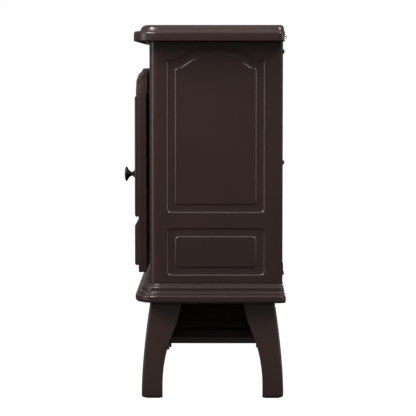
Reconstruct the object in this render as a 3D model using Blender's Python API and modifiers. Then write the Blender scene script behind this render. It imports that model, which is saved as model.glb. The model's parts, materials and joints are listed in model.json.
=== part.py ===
"""Free-standing electric stove heater with a flame effect.

Metres, +Z up.  The door faces -Y and hinges on the -X side.  The origin is on the floor, in
the middle of the overall width and depth.
"""

import math

import bmesh
import bpy
from mathutils import Matrix, Vector

# ---------------------------------------------------------------- driving dimensions

GAP = 0.0004                 # clearance between pieces that rest on each other
STANCE = 0.0040              # the legs raise the body this far over the heights given below
SHEET = 0.0012               # pressed sheet metal

REAR = 0.1250                # outer face of the cabinet's back
CABINET_DEPTH = 0.2133
CABINET_HALF = 0.2800
CABINET_BOTTOM = 0.1815
CABINET_TOP = 0.5676
CORNER_RADIUS = 0.0130
FRONT = REAR - CABINET_DEPTH

TOP_HEIGHT = 0.5940
LID_HALF = 0.3050
LID_BOTTOM = 0.5680
LID_FRONT = REAR - 0.2385
LID_REAR = REAR + 0.0032

BASE_BOTTOM = 0.1510
BASE_TOP = 0.1811
BASE_REACH = 0.0233          # past the cabinet at the front and the sides
BASE_REAR_REACH = 0.0053
MOULDING_CORNER = 0.0430     # front corners of the lid and the base
MOULDING_REAR_CORNER = 0.0120

# Each moulding is a list of rings from the bottom up: height, how far in from the reach at the
# front and sides, and how far in at the rear.
LID_MOULDING = (
    (LID_BOTTOM, 0.0012, 0.0012),
    (0.5694, 0.0000, 0.0000),
    (0.5822, 0.0000, 0.0000),
    (0.5838, 0.0008, 0.0006),
    (0.5845, 0.0030, 0.0012),
    (0.5847, 0.0095, 0.0014),
    (0.5862, 0.0112, 0.0016),
    (0.5892, 0.0118, 0.0018),
    (0.5920, 0.0138, 0.0024),
    (TOP_HEIGHT, 0.0180, 0.0045),
)
LID_HOLLOW = (
    (LID_BOTTOM - 0.01, 0.0026, 0.0016),
    (0.5826, 0.0026, 0.0016),
    (0.5828, 0.0132, 0.0030),
    (0.5890, 0.0132, 0.0030),
    (TOP_HEIGHT - SHEET, 0.0175, 0.0050),
)
BASE_MOULDING = (
    (BASE_BOTTOM, 0.0012, 0.0010),
    (0.1524, 0.0000, 0.0000),
    (0.1600, 0.0000, 0.0000),
    (0.1618, 0.0008, 0.0004),
    (0.1627, 0.0034, 0.0010),
    (0.1634, 0.0048, 0.0014),
    (0.1662, 0.0050, 0.0014),
    (0.1676, 0.0060, 0.0018),
    (0.1684, 0.0084, 0.0024),
    (0.1692, 0.0098, 0.0028),
    (0.1752, 0.0102, 0.0030),
    (0.1768, 0.0112, 0.0034),
    (0.1778, 0.0150, 0.0040),
    (0.1788, 0.0185, 0.0044),
    (0.1800, 0.0185, 0.0044),
    (BASE_TOP, 0.0200, 0.0048),
)
BASE_HOLLOW = (
    (BASE_BOTTOM + SHEET, 0.0014, 0.0014),
    (0.1604, 0.0014, 0.0014),
    (0.1620, 0.0062, 0.0028),
    (0.1664, 0.0064, 0.0028),
    (0.1680, 0.0112, 0.0042),
    (0.1754, 0.0116, 0.0044),
    (0.1768, 0.0270, 0.0100),
    (BASE_TOP + 0.01, 0.0270, 0.0100),
)

AIR_WAY_HALF = 0.2050        # the hole in the base's floor, over the outlet
AIR_WAY_FRONT = REAR - 0.1450
AIR_WAY_REAR = REAR - 0.0360

LEG_TOP = BASE_BOTTOM - GAP + STANCE
LEG_BOTTOM = 0.0012
LEG_WALL = 0.0020
LEG_OUT_X = CABINET_HALF + 0.0120    # the foot's outermost reach at a side
LEG_OUT_FRONT = FRONT - 0.0128       # at the front
LEG_OUT_REAR = REAR + 0.0016         # and at the rear
LEG_SWEEP = 0.0135                   # how far the outer edge leans in by the top
LEG_CORNER = 0.0050
LEG_TOE = 0.0045                     # rounding where the leg meets the floor
LEG_WIDTHS = (
    # height, width from the foot's outermost reach
    (0.000, 0.0338), (0.034, 0.0342), (0.054, 0.0362), (0.074, 0.0400), (0.094, 0.0456),
    (0.112, 0.0530), (0.126, 0.0580), (0.138, 0.0612), (0.155, 0.0640),
)

DOOR_HALF = 0.2350
DOOR_BOTTOM = 0.1940
DOOR_SHOULDER = 0.4870
DOOR_PEAK = 0.5250
DOOR_FRONT = REAR - 0.2326   # front face of the backing tray
DOOR_REAR = REAR - 0.2200
FACING_FRONT = REAR - 0.2390
FACING_INSET = 0.0065
FACING_LOW = 0.2050
FACING_SPLIT_LOW = 0.2700
FACING_SLOPE_TOP = 0.2815
FACING_SPLIT_HIGH = 0.2840
WINDOW_HALF = 0.1830
WINDOW_BOTTOM = 0.3240
WINDOW_SHOULDER = 0.4320
WINDOW_PEAK = 0.4740
BAR_XS = (-0.0610, 0.0610)   # the window's upright bars
BAR_ZS = (0.3700, 0.4160)    # and its level bars
BAR_HALF = 0.0035
MULLION_SHEET = 0.0030
PANE_THICKNESS = 0.0030
DOOR_SHEET = 0.0016

HINGE_X = -0.2270
HINGE_Y = -0.1012
PIN_RADIUS = 0.0020
CATCH_X = 0.2220
CATCH_Z = 0.3760

KNOB_X = 0.2065
KNOB_Z = 0.3530
KNOB_FRONT = REAR - 0.2560

SIDE_RETURN = 0.2625         # where a side skin's front return ends, in X
SIDE_FLANGE = 0.2660         # and its rear flange
FIELD_MIDDLE = REAR - 0.1071 # middle of the embossed fields on the sides, in Y
FIELD_HALF = 0.0784
UPPER_FIELD = (0.2940, 0.5390, 0.5590)   # bottom, shoulder, peak
LOWER_FIELD = (0.1932, 0.2700)           # bottom, top
EMBOSS_DEPTH = 0.0018
EMBOSS_WIDTH = 0.0150
FIREBOX_OPENING = (0.2050, 0.3060, 0.4480, 0.4880)   # half width, bottom, shoulder, peak
CONTROL_OPENING = (0.1500, 0.2130, 0.2650)           # half width, bottom, top
INTAKE_ROWS = 6
INTAKE_TOP = 0.4700
INTAKE_PITCH = 0.0120
INTAKE_MIDDLES = (-0.0700, 0.0700)

OUTLET_HALF = 0.2300
OUTLET_BOTTOM = 0.0770
OUTLET_BAND = 0.0107
OUTLET_FRONT = REAR - 0.1840
OUTLET_REAR = REAR - 0.0300
OUTLET_SLOPE = 0.0120        # how far the front louvre leans back over its height
SLAT_TOPS = (0.1412, 0.1268, 0.1124, 0.0980)
SLAT_HEIGHT = 0.0090
SLAT_SHEET = 0.0016
SLAT_THROW = 0.0050
GRILLE_POST = 0.0060
GRILLE_SIDE_DEPTH = 0.0066
GRILLE_FRONT_DEPTH = 0.0060

LINER_HALF = 0.2250
LINER_BOTTOM = 0.2980
LINER_TOP = 0.5160
LINER_FRONT = FRONT + SHEET + GAP
LINER_REAR = REAR - 0.0600
SCREEN_Y = 0.0060
SCREEN_THICKNESS = 0.0030

EMBER_HALF = 0.1900
EMBER_LOW = LINER_BOTTOM + SHEET + GAP
EMBER_FRONT = LINER_FRONT + 0.0050
EMBER_REAR = SCREEN_Y - 0.0030

LOGS = {
    # name: (middle, length, radius, turn about Z in degrees, tilt in degrees, seed)
    "log_back": ((0.006, -0.0180, 0.3385), 0.300, 0.0180, 0.0, 0.0, 1.0),
    "log_left": ((-0.088, -0.0610, 0.3325), 0.140, 0.0125, 4.0, 2.0, 2.6),
    "log_right": ((0.088, -0.0610, 0.3325), 0.130, 0.0125, -5.0, -2.0, 4.1),
}

CONTROL_Y = FRONT + SHEET + GAP
CONTROL_Z = 0.2390
ROCKER_TILT = 7.0            # degrees each side of level
ROCKERS = {"power_rocker": -0.1150, "heat_rocker": -0.0700}
KNOBS = {
    # name: (place in X, radius)
    "thermostat_knob": (0.0150, 0.0110),
    "flame_knob": (0.0850, 0.0090),
}

ROTOR_Y = 0.0330
ROTOR_Z = 0.3350
ROTOR_HALF = 0.1900
ROTOR_HOLE = 0.0045
FLAGS = 9
LAMPS = 8
LAMP_PITCH = 0.0440

BLOWER_Y = 0.0720
BLOWER_Z = 0.2450
BLOWER_HALF = 0.1200
BLOWER_RADIUS = 0.0260
BLOWER_FINS = 14

TUBE_Z = 0.1180
TUBE_RADIUS = 0.0060
TUBE_HALF = 0.1886
ELEMENT_HALF = 0.1880        # the end plates that hold the tubes and close off the sides
HOOD_RISE = 0.0194           # the reflector's top over the tubes' axis
TUBE_YS = {"quartz_tube_front": 0.0000, "quartz_tube_rear": 0.0360}

SCREW_X = 0.2720
SCREW_HEIGHTS = (0.5520, 0.3750, 0.1970)
LID_SCREW_X = 0.2700
LID_SCREW_Z = 0.5750
GLAND_X = 0.2050
GLAND_Z = 0.2000
SCREW_HEAD = 0.0024
SCREW_SHANK = 0.0018

# ---------------------------------------------------------------- scene and materials

for old in list(bpy.data.objects):
    bpy.data.objects.remove(old, do_unlink=True)

scene = bpy.context.scene
parts = bpy.data.collections.new("electric_stove")
cutters = bpy.data.collections.new("cutters")
scene.collection.children.link(parts)
scene.collection.children.link(cutters)

FINISHES = {
    # name: (colour, roughness, metallic)
    "bronze_coat": ((0.042, 0.027, 0.024), 0.42, 0.35),
    "black_gloss": ((0.010, 0.008, 0.008), 0.18, 0.10),
    "black_steel": ((0.020, 0.018, 0.017), 0.50, 0.60),
    "bright_steel": ((0.520, 0.520, 0.510), 0.30, 1.00),
    "black_plastic": ((0.016, 0.016, 0.016), 0.45, 0.00),
    "grey_plastic": ((0.180, 0.180, 0.180), 0.50, 0.00),
    "rubber": ((0.015, 0.015, 0.015), 0.80, 0.00),
    "glass": ((0.060, 0.055, 0.050), 0.05, 0.00),
    "quartz": ((0.850, 0.620, 0.500), 0.15, 0.00),
    "screen": ((0.120, 0.060, 0.035), 0.35, 0.00),
    "ember": ((0.300, 0.080, 0.020), 0.55, 0.00),
    "bark": ((0.110, 0.062, 0.035), 0.85, 0.00),
    "board": ((0.020, 0.110, 0.050), 0.50, 0.00),
}


def material(piece_name, finish):
    """A material of the piece's own, with the named finish."""
    colour, roughness, metallic = FINISHES[finish]
    made = bpy.data.materials.new(piece_name + "_" + finish)
    made.use_nodes = True
    shader = made.node_tree.nodes["Principled BSDF"]
    shader.inputs["Base Color"].default_value = (*colour, 1.0)
    shader.inputs["Roughness"].default_value = roughness
    shader.inputs["Metallic"].default_value = metallic
    made.diffuse_color = (*colour, 1.0)
    return made


# ---------------------------------------------------------------- modelling helpers


def move_to(obj, collection):
    for other in list(obj.users_collection):
        other.objects.unlink(obj)
    collection.objects.link(obj)


def as_cutter(obj):
    """Files an object as a tool: drawn in wire, and never part of the model."""
    move_to(obj, cutters)
    obj.display_type = "WIRE"
    obj.hide_render = True
    return obj


def as_part(obj, name, finish, smooth=30.0):
    """Files an object as a finished piece, with its name, shading and material."""
    move_to(obj, parts)
    obj.name = name
    obj.data.name = name
    obj.data.materials.clear()
    obj.data.materials.append(material(name, finish))
    obj.data.shade_smooth()
    obj.data.set_sharp_from_angle(angle=math.radians(smooth))
    return obj


def apply_transform(obj):
    """Puts an object's own turn and scale into its mesh, and keeps its place."""
    place = obj.matrix_world.translation.copy()
    bpy.context.view_layer.update()
    turn = obj.matrix_world.copy()
    turn.translation = (0.0, 0.0, 0.0)
    obj.data.transform(turn)
    obj.matrix_world = Matrix.Translation(place)
    bpy.context.view_layer.update()
    return obj


def box(low, high):
    """A box between two opposite corners."""
    low, high = Vector(low), Vector(high)
    bpy.ops.mesh.primitive_cube_add(size=1.0, location=(low + high) / 2)
    obj = bpy.context.object
    obj.scale = high - low
    bpy.context.view_layer.update()
    return apply_transform(obj)


AXIS_TURNS = {
    "X": Matrix.Rotation(math.radians(90), 4, "Y"),
    "Y": Matrix.Rotation(math.radians(-90), 4, "X"),
    "Z": Matrix.Identity(4),
}


def cylinder(start, length, radius, axis="Z", sides=16, end_radius=None):
    """A cylinder or cone that starts at a point and runs along +X, +Y or +Z."""
    turn = AXIS_TURNS[axis]
    middle = Vector(start) + turn @ Vector((0, 0, length / 2))
    bpy.ops.mesh.primitive_cone_add(
        vertices=sides,
        radius1=radius,
        radius2=radius if end_radius is None else end_radius,
        depth=length,
        location=middle,
    )
    obj = bpy.context.object
    obj.matrix_world = Matrix.Translation(middle) @ turn
    bpy.context.view_layer.update()
    return apply_transform(obj)


PLANES = {
    # which world axes an outline's (u, v) run along, and the way it is extruded
    "XY": Matrix.Identity(4),
    "XZ": Matrix.Rotation(math.radians(90), 4, "X"),
    "YZ": Matrix.Rotation(math.radians(90), 4, "Z") @ Matrix.Rotation(math.radians(90), 4, "X"),
}


def face_outward(work):
    """Turns a closed shape's faces outward."""
    bmesh.ops.recalc_face_normals(work, faces=work.faces)
    if work.calc_volume(signed=True) < 0:
        bmesh.ops.reverse_faces(work, faces=work.faces)


def outline_solid(loops, plane, low, high):
    """A flat outline, with any further loops as its holes, extruded from low to high.

    XY runs up Z, XZ runs along Y, and YZ runs along X.
    """
    curve = bpy.data.curves.new("outline", "CURVE")
    curve.dimensions = "2D"
    curve.fill_mode = "BOTH"
    curve.extrude = (high - low) / 2
    for loop in loops:
        spline = curve.splines.new("POLY")
        spline.points.add(len(loop) - 1)
        for point, (u, v) in zip(spline.points, loop):
            point.co = (u, v, 0.0, 1.0)
        spline.use_cyclic_u = True
    guide = bpy.data.objects.new("outline", curve)
    scene.collection.objects.link(guide)
    middle = (low + high) / 2
    offset = {"XY": (0, 0, middle), "XZ": (0, middle, 0), "YZ": (middle, 0, 0)}[plane]
    guide.matrix_world = Matrix.Translation(offset) @ PLANES[plane]
    bpy.context.view_layer.update()
    shape = bpy.data.meshes.new_from_object(guide.evaluated_get(bpy.context.evaluated_depsgraph_get()))
    work = bmesh.new()
    work.from_mesh(shape)
    bmesh.ops.remove_doubles(work, verts=work.verts, dist=0.00001)
    work.transform(guide.matrix_world)
    face_outward(work)
    work.to_mesh(shape)
    work.free()
    obj = bpy.data.objects.new("solid", shape)
    scene.collection.objects.link(obj)
    bpy.data.objects.remove(guide, do_unlink=True)
    return obj


def turned(profile, place, axis, steps=20):
    """A turned piece: (radius, height) pairs from the top down, turned about an axis."""
    shape = bpy.data.meshes.new("turned")
    edges = [(i, i + 1) for i in range(len(profile) - 1)]
    shape.from_pydata([(r, 0.0, h) for r, h in profile], edges, [])
    obj = bpy.data.objects.new("turned", shape)
    scene.collection.objects.link(obj)
    obj.matrix_world = Matrix.Translation(place) @ AXIS_TURNS[axis]
    screw = obj.modifiers.new("turn", "SCREW")
    screw.steps = steps
    screw.render_steps = steps
    screw.use_merge_vertices = True
    screw.merge_threshold = 0.00001
    screw.use_smooth_shade = True
    return obj


def loft(rings):
    """A closed solid through rings of equal length, each a loop of points, bottom to top."""
    work = bmesh.new()
    loops = [[work.verts.new(point) for point in ring] for ring in rings]
    for low, high in zip(loops, loops[1:]):
        for i in range(len(low)):
            j = (i + 1) % len(low)
            work.faces.new((low[i], low[j], high[j], high[i]))
    work.faces.new(loops[0])
    work.faces.new(loops[-1])
    face_outward(work)
    shape = bpy.data.meshes.new("loft")
    work.to_mesh(shape)
    work.free()
    obj = bpy.data.objects.new("solid", shape)
    scene.collection.objects.link(obj)
    return obj


def combine(target, tool, operation):
    """Adds, cuts or keeps the overlap with a tool object, exactly."""
    step = target.modifiers.new(operation.lower(), "BOOLEAN")
    step.operation = operation
    step.solver = "EXACT"
    step.object = as_cutter(tool)
    return target


def cut(target, *tools):
    for tool in tools:
        combine(target, tool, "DIFFERENCE")
    return target


def join(target, *tools):
    for tool in tools:
        combine(target, tool, "UNION")
    return target


def round_edges(obj, width, segments=2, angle=40.0):
    """Rounds an object's sharp edges."""
    step = obj.modifiers.new("round", "BEVEL")
    step.width = width
    step.segments = segments
    step.limit_method = "ANGLE"
    step.angle_limit = math.radians(angle)
    return obj


def freeze(obj):
    """Turns an object with modifiers into a plain mesh, so that it can be placed or cut again."""
    bpy.context.view_layer.update()
    shape = bpy.data.meshes.new_from_object(obj.evaluated_get(bpy.context.evaluated_depsgraph_get()))
    shape.transform(obj.matrix_world)
    plain = bpy.data.objects.new("solid", shape)
    scene.collection.objects.link(plain)
    bpy.data.objects.remove(obj, do_unlink=True)
    return plain


def set_origin(obj, point):
    """Moves an object's origin without moving its shape."""
    bpy.context.view_layer.update()
    shift = obj.matrix_world.inverted() @ Vector(point)
    obj.data.transform(Matrix.Translation(-shift))
    obj.matrix_world = obj.matrix_world @ Matrix.Translation(shift)
    return obj


def mount_on(pivot_name, point, *objects):
    """Parents pieces to an empty at a joint's place, and leaves them where they are."""
    pivot = bpy.data.objects.new(pivot_name, None)
    pivot.empty_display_size = 0.03
    pivot.location = point
    parts.objects.link(pivot)
    bpy.context.view_layer.update()
    for obj in objects:
        world = obj.matrix_world.copy()
        obj.parent = pivot
        obj.matrix_parent_inverse = pivot.matrix_world.inverted()
        obj.matrix_world = world
    return pivot


# ---------------------------------------------------------------- outlines


def arc(centre, radius, start, end, count):
    """Points along an arc, angles in degrees."""
    return [
        (
            centre[0] + radius * math.cos(math.radians(start + (end - start) * i / count)),
            centre[1] + radius * math.sin(math.radians(start + (end - start) * i / count)),
        )
        for i in range(count + 1)
    ]


def rounded_rectangle(u0, u1, v0, v1, low_radius, high_radius=None, count=4):
    """A rectangle with one corner radius along its low v side and another along its high side."""
    if high_radius is None:
        high_radius = low_radius
    return (
        arc((u1 - low_radius, v0 + low_radius), low_radius, -90, 0, count)
        + arc((u1 - high_radius, v1 - high_radius), high_radius, 0, 90, count)
        + arc((u0 + high_radius, v1 - high_radius), high_radius, 90, 180, count)
        + arc((u0 + low_radius, v0 + low_radius), low_radius, 180, 270, count)
    )


def arched_outline(middle, half, bottom, shoulder, peak, flat, rise=0.55, ogee=0.16,
                   corner=0.006, count=6):
    """A panel outline with square shoulders, an ogee rise and a shallow arch.

    flat is the shoulder's level length, rise the share of the height that the ogee takes, and
    ogee its width as a share of the half width.
    """
    height = peak - shoulder
    foot = half - flat
    crown = foot - ogee * half
    spring = shoulder + rise * height
    right = []
    for i in range(count + 1):
        t = i / count
        right.append((foot - (foot - crown) * t, shoulder + (spring - shoulder) * t * t * (3 - 2 * t)))
    for i in range(1, 2 * count + 1):
        share = 1 - i / (2 * count)
        right.append((crown * share, peak - (peak - spring) * share * share))
    left = [(-u, v) for u, v in reversed(right[:-1])]
    if corner > 0:
        foot_right = arc((half - corner, bottom + corner), corner, -90, 0, 4)
        foot_left = arc((-half + corner, bottom + corner), corner, 180, 270, 4)
    else:
        foot_right = [(half, bottom)]
        foot_left = [(-half, bottom)]
    points = foot_right + [(half, shoulder)] + right + left + [(-half, shoulder)] + foot_left
    return [(middle + u, v) for u, v in points]


# ---------------------------------------------------------------- lid and base


def moulded_block(moulding, half, front, rear):
    """A rounded slab whose rim follows a moulding."""
    rings = []
    for height, inset, rear_inset in moulding:
        outline = rounded_rectangle(-half + inset, half - inset, front + inset, rear - rear_inset,
                                    MOULDING_CORNER - inset, MOULDING_REAR_CORNER - rear_inset, 6)
        rings.append([(x, y, height) for x, y in outline])
    return loft(rings)


def make_top_lid():
    """A pressed lid: a lower tier with round front corners, and a smaller tier on it."""
    place = (LID_HALF, LID_FRONT, LID_REAR)
    lid = moulded_block(LID_MOULDING, *place)
    cut(lid, moulded_block(LID_HOLLOW, *place))
    for x in (-LID_SCREW_X, LID_SCREW_X):
        cut(lid, cylinder((x, LID_REAR - 0.02, LID_SCREW_Z), 0.04, SCREW_SHANK + GAP, "Y", 10))
    return as_part(lid, "top_lid", "bronze_coat")


def make_base_plinth():
    """A stepped tray: its floor carries the legs and the outlet, its top the cabinet."""
    place = (CABINET_HALF + BASE_REACH, FRONT - BASE_REACH, REAR + BASE_REAR_REACH)
    plinth = moulded_block(BASE_MOULDING, *place)
    cut(plinth, moulded_block(BASE_HOLLOW, *place))
    cut(plinth, box((-AIR_WAY_HALF, AIR_WAY_FRONT, BASE_BOTTOM - 0.01),
                    (AIR_WAY_HALF, AIR_WAY_REAR, BASE_BOTTOM + 0.01)))
    return as_part(plinth, "base_plinth", "bronze_coat")


# ---------------------------------------------------------------- cabinet skins


def emboss(panel, loops, face, inward, plane):
    """Presses a groove, ring shaped, into a panel, with its metal stood in on the inside."""
    outer, inner, backing_outer, backing_inner = loops
    inside = face - inward * (SHEET + EMBOSS_DEPTH)
    groove = face - inward * EMBOSS_DEPTH
    beyond = face + inward * 0.01
    middle = face - inward * SHEET * 0.5
    join(panel, outline_solid([backing_outer, backing_inner], plane,
                              min(inside, middle), max(inside, middle)))
    cut(panel, outline_solid([outer, inner], plane, min(groove, beyond), max(groove, beyond)))
    return panel


def side_loops(kind):
    """The ring of a side panel's upper (arched) or lower (plain) embossed field."""
    wall = 0.0016

    def upper(inset):
        bottom, shoulder, peak = UPPER_FIELD
        half = FIELD_HALF - inset
        return arched_outline(FIELD_MIDDLE, half, bottom + inset, shoulder - inset, peak - inset,
                              max(0.0110 - 0.8 * inset, 0.0006), rise=0.80, ogee=0.0300 / half,
                              count=5, corner=0.0055 - inset * 0.2)

    def lower(inset):
        bottom, top = LOWER_FIELD
        half = FIELD_HALF - inset
        return rounded_rectangle(FIELD_MIDDLE - half, FIELD_MIDDLE + half, bottom + inset,
                                 top - inset, 0.0055 - inset * 0.2)

    ring = upper if kind == "upper" else lower
    return ring(0.0), ring(EMBOSS_WIDTH), ring(-wall), ring(EMBOSS_WIDTH + wall)


def make_side_panel(name, side):
    """A side skin: flat, with a rounded front corner, a front return and a rear flange."""
    outer = CABINET_HALF
    rear = REAR - SHEET - GAP
    radius = CORNER_RADIUS
    centre = (outer - radius, FRONT + radius)
    section = (
        [(SIDE_RETURN, FRONT)]
        + arc(centre, radius, -90, 0, 5)
        + [(outer, rear), (SIDE_FLANGE, rear), (SIDE_FLANGE, rear - SHEET),
           (outer - SHEET, rear - SHEET)]
        + arc(centre, radius - SHEET, 0, -90, 5)
        + [(SIDE_RETURN, FRONT + SHEET)]
    )
    if side < 0:
        section = [(-x, y) for x, y in reversed(section)]
    panel = outline_solid([section], "XY", CABINET_BOTTOM, CABINET_TOP)
    for kind in ("upper", "lower"):
        emboss(panel, side_loops(kind), side * outer, side, "YZ")
    for z in SCREW_HEIGHTS:
        cut(panel, cylinder((side * SCREW_X, rear - 0.02, z), 0.04, SCREW_SHANK + GAP, "Y", 10))
    return as_part(panel, name, "bronze_coat")


def make_front_frame():
    """The front sheet behind the door, open at the firebox and at the controls."""
    edge = SIDE_RETURN - GAP
    control_half, control_low, control_high = CONTROL_OPENING
    frame = outline_solid(
        [rounded_rectangle(-edge, edge, CABINET_BOTTOM, CABINET_TOP, 0.0005, count=1),
         arched_outline(0.0, *FIREBOX_OPENING, 0.030, corner=0.004)[::-1],
         rounded_rectangle(-control_half, control_half, control_low, control_high, 0.004)[::-1]],
        "XZ", FRONT, FRONT + SHEET)
    return as_part(frame, "front_frame", "bronze_coat")


def make_rear_panel():
    """The back sheet, with its intake slots, screw holes and the cord outlet's hole."""
    edge = CABINET_HALF - 0.0008
    panel = outline_solid(
        [rounded_rectangle(-edge, edge, CABINET_BOTTOM, CABINET_TOP, 0.003, count=2)],
        "XZ", REAR - SHEET, REAR)
    for row in range(INTAKE_ROWS):
        z = INTAKE_TOP - row * INTAKE_PITCH
        for middle in INTAKE_MIDDLES:
            cut(panel, outline_solid(
                [rounded_rectangle(middle - 0.055, middle + 0.055, z - 0.0022, z + 0.0022,
                                   0.0016, count=1)],
                "XZ", REAR - 0.01, REAR + 0.01))
    for side in (-1, 1):
        for z in SCREW_HEIGHTS:
            cut(panel, cylinder((side * SCREW_X, REAR - 0.02, z), 0.04, SCREW_SHANK + GAP, "Y", 10))
    cut(panel, cylinder((GLAND_X, REAR - 0.02, GLAND_Z), 0.04, 0.0060 + GAP, "Y", 16))
    return as_part(panel, "rear_panel", "black_steel")


def make_rear_screws():
    """Self-tapping screws: three up each rear edge, and one in each end of the lid."""
    head_back = {True: LID_REAR, False: REAR}
    labels = ("upper", "middle", "lower")
    places = [(label, SCREW_X, z, False) for label, z in zip(labels, SCREW_HEIGHTS)]
    places.append(("lid", LID_SCREW_X, LID_SCREW_Z, True))
    for side, side_name in ((1, "right"), (-1, "left")):
        for label, x, z, on_lid in places:
            face = head_back[on_lid] + GAP
            profile = [(0.0, face + SCREW_HEAD), (0.0022, face + SCREW_HEAD - 0.0002),
                       (0.0036, face + SCREW_HEAD * 0.45), (0.0038, face),
                       (SCREW_SHANK, face), (SCREW_SHANK, face - 0.0075), (0.0, face - 0.0095)]
            screw = turned(profile, (side * x, 0.0, z), "Y", 12)
            as_part(screw, "rear_screw_" + label + "_" + side_name, "black_steel")


def make_cord_gland():
    """The bushing in the rear panel that a supply cord would leave through."""
    face = REAR + GAP
    profile = [(0.0034, face + 0.0028), (0.0070, face + 0.0028), (0.0078, face + 0.0018),
               (0.0078, face), (0.0060, face), (0.0060, REAR - 0.0080), (0.0034, REAR - 0.0080),
               (0.0034, face + 0.0028)]
    return as_part(turned(profile, (GLAND_X, 0.0, GLAND_Z), "Y", 16), "cord_gland", "black_plastic")


# ---------------------------------------------------------------- legs


def leg_outer(height):
    """How far the outer edge stands in from the foot's reach."""
    share = max(0.0, (height - 0.010) / (LEG_TOP - 0.010))
    below = max(0.0, LEG_BOTTOM + LEG_TOE - height)
    return LEG_SWEEP * share ** 1.6 + LEG_TOE - math.sqrt(LEG_TOE ** 2 - below ** 2)


def leg_inner(height):
    """The inner edge: a narrow foot that sweeps to a wide top, eased between the given widths."""
    for (low, start), (high, end) in zip(LEG_WIDTHS, LEG_WIDTHS[1:]):
        if height <= high:
            return start + (end - start) * (height - low) / (high - low)
    return LEG_WIDTHS[-1][1]


def leg_section(height):
    """The leg's L at a height, as distances in from its outermost reach."""
    near, far = leg_outer(height), leg_inner(height)
    centre = (near + LEG_CORNER, near + LEG_CORNER)
    return (
        [(far, near)]
        + arc(centre, LEG_CORNER, 270, 180, 3)
        + [(near, far), (near + LEG_WALL, far)]
        + arc(centre, LEG_CORNER - LEG_WALL, 180, 270, 3)
        + [(far, near + LEG_WALL)]
    )


def make_leg(name, side, end):
    """A hollow pressed leg, open on its two inner sides: an L section lofted up its curve.

    side is +1 at the right, end is -1 at the front and +1 at the rear.
    """
    x_reach = side * LEG_OUT_X
    y_reach = LEG_OUT_FRONT if end < 0 else LEG_OUT_REAR
    steps = 10
    heights = [LEG_BOTTOM, LEG_BOTTOM + 0.3 * LEG_TOE, LEG_BOTTOM + LEG_TOE]
    heights += [0.015 + (LEG_TOP - 0.015) * i / steps for i in range(steps + 1)]
    rings = [[(x_reach - side * u, y_reach - end * w, height) for u, w in leg_section(height)]
             for height in heights]
    return as_part(loft(rings), name, "bronze_coat")


def make_foot_pad(name, side, end):
    """A moulded glide that plugs the leg's lower end and stands just below it."""
    x_outer = side * LEG_OUT_X
    y_outer = LEG_OUT_FRONT if end < 0 else LEG_OUT_REAR
    near = LEG_TOE + LEG_WALL + GAP
    far = 0.0300
    xs = sorted((x_outer - side * near, x_outer - side * far))
    ys = sorted((y_outer - end * near, y_outer - end * far))
    pad = outline_solid([rounded_rectangle(xs[0], xs[1], ys[0], ys[1], 0.002, count=2)],
                        "XY", 0.0, 0.0060)
    return as_part(pad, name, "rubber")


# ---------------------------------------------------------------- door


def door_outline(inset, bottom=DOOR_BOTTOM):
    """The door's arched outline, drawn in by an inset all round."""
    return arched_outline(0.0, DOOR_HALF - inset, bottom + inset, DOOR_SHOULDER - inset,
                          DOOR_PEAK - inset, 0.0390, rise=0.70, ogee=0.15, corner=0.0)


def window_outline(inset):
    return arched_outline(0.0, WINDOW_HALF - inset, WINDOW_BOTTOM + inset,
                          WINDOW_SHOULDER - inset, WINDOW_PEAK - inset, 0.0300,
                          rise=0.70, ogee=0.15, corner=0.0)


def lower_facing(inset, back):
    """The lower facing seen from its end: its top edge slopes back into the groove."""
    front = FACING_FRONT + inset
    return [(front, FACING_LOW + inset), (back, FACING_LOW + inset), (back, FACING_SLOPE_TOP - inset),
            (DOOR_FRONT + inset, FACING_SLOPE_TOP - inset), (front, FACING_SPLIT_LOW - inset)]


def make_door_frame():
    """A pressed tray door with two raised facings, hollow behind, and an arched window."""
    tray = outline_solid([door_outline(0.0)], "XZ", DOOR_FRONT, DOOR_REAR)
    upper = outline_solid([door_outline(FACING_INSET, bottom=FACING_SPLIT_HIGH - FACING_INSET)],
                          "XZ", FACING_FRONT, DOOR_FRONT + 0.002)
    edge = DOOR_HALF - FACING_INSET
    lower = outline_solid([lower_facing(0.0, DOOR_FRONT + 0.002)], "YZ", -edge, edge)
    door = join(tray, upper, lower)
    wall = DOOR_SHEET
    cut(door, outline_solid([door_outline(wall)], "XZ", DOOR_FRONT + wall, DOOR_REAR + 0.01))
    cut(door, outline_solid(
        [door_outline(FACING_INSET + wall, bottom=FACING_SPLIT_HIGH - FACING_INSET)],
        "XZ", FACING_FRONT + wall, DOOR_REAR + 0.008))
    cut(door, outline_solid([lower_facing(wall, DOOR_REAR + 0.006)], "YZ", -edge + wall, edge - wall))
    cut(door, outline_solid([window_outline(0.0)], "XZ", FACING_FRONT - 0.01, DOOR_REAR))
    for z in (DOOR_BOTTOM, DOOR_SHOULDER):
        cut(door, cylinder((HINGE_X, HINGE_Y, z - 0.006), 0.012, PIN_RADIUS + GAP, "Z", 12))
    cut(door, cylinder((KNOB_X, FACING_FRONT - 0.01, KNOB_Z), 0.02, 0.0020 + GAP, "Y", 12))
    return as_part(door, "door_frame", "bronze_coat")


def make_door_mullions():
    """The window's grille: an arched ring behind the facing, with bars across the glass."""
    front = FACING_FRONT + DOOR_SHEET + GAP
    rear = front + MULLION_SHEET
    grille = outline_solid([window_outline(-0.008), window_outline(0.0015)[::-1]], "XZ", front, rear)
    for x in BAR_XS:
        join(grille, box((x - BAR_HALF, front, WINDOW_BOTTOM - 0.004),
                         (x + BAR_HALF, rear, WINDOW_PEAK - 0.008)))
    for z in BAR_ZS:
        join(grille, box((-WINDOW_HALF - 0.003, front, z - BAR_HALF),
                         (WINDOW_HALF + 0.003, rear, z + BAR_HALF)))
    return as_part(grille, "door_mullions", "bronze_coat")


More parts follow.
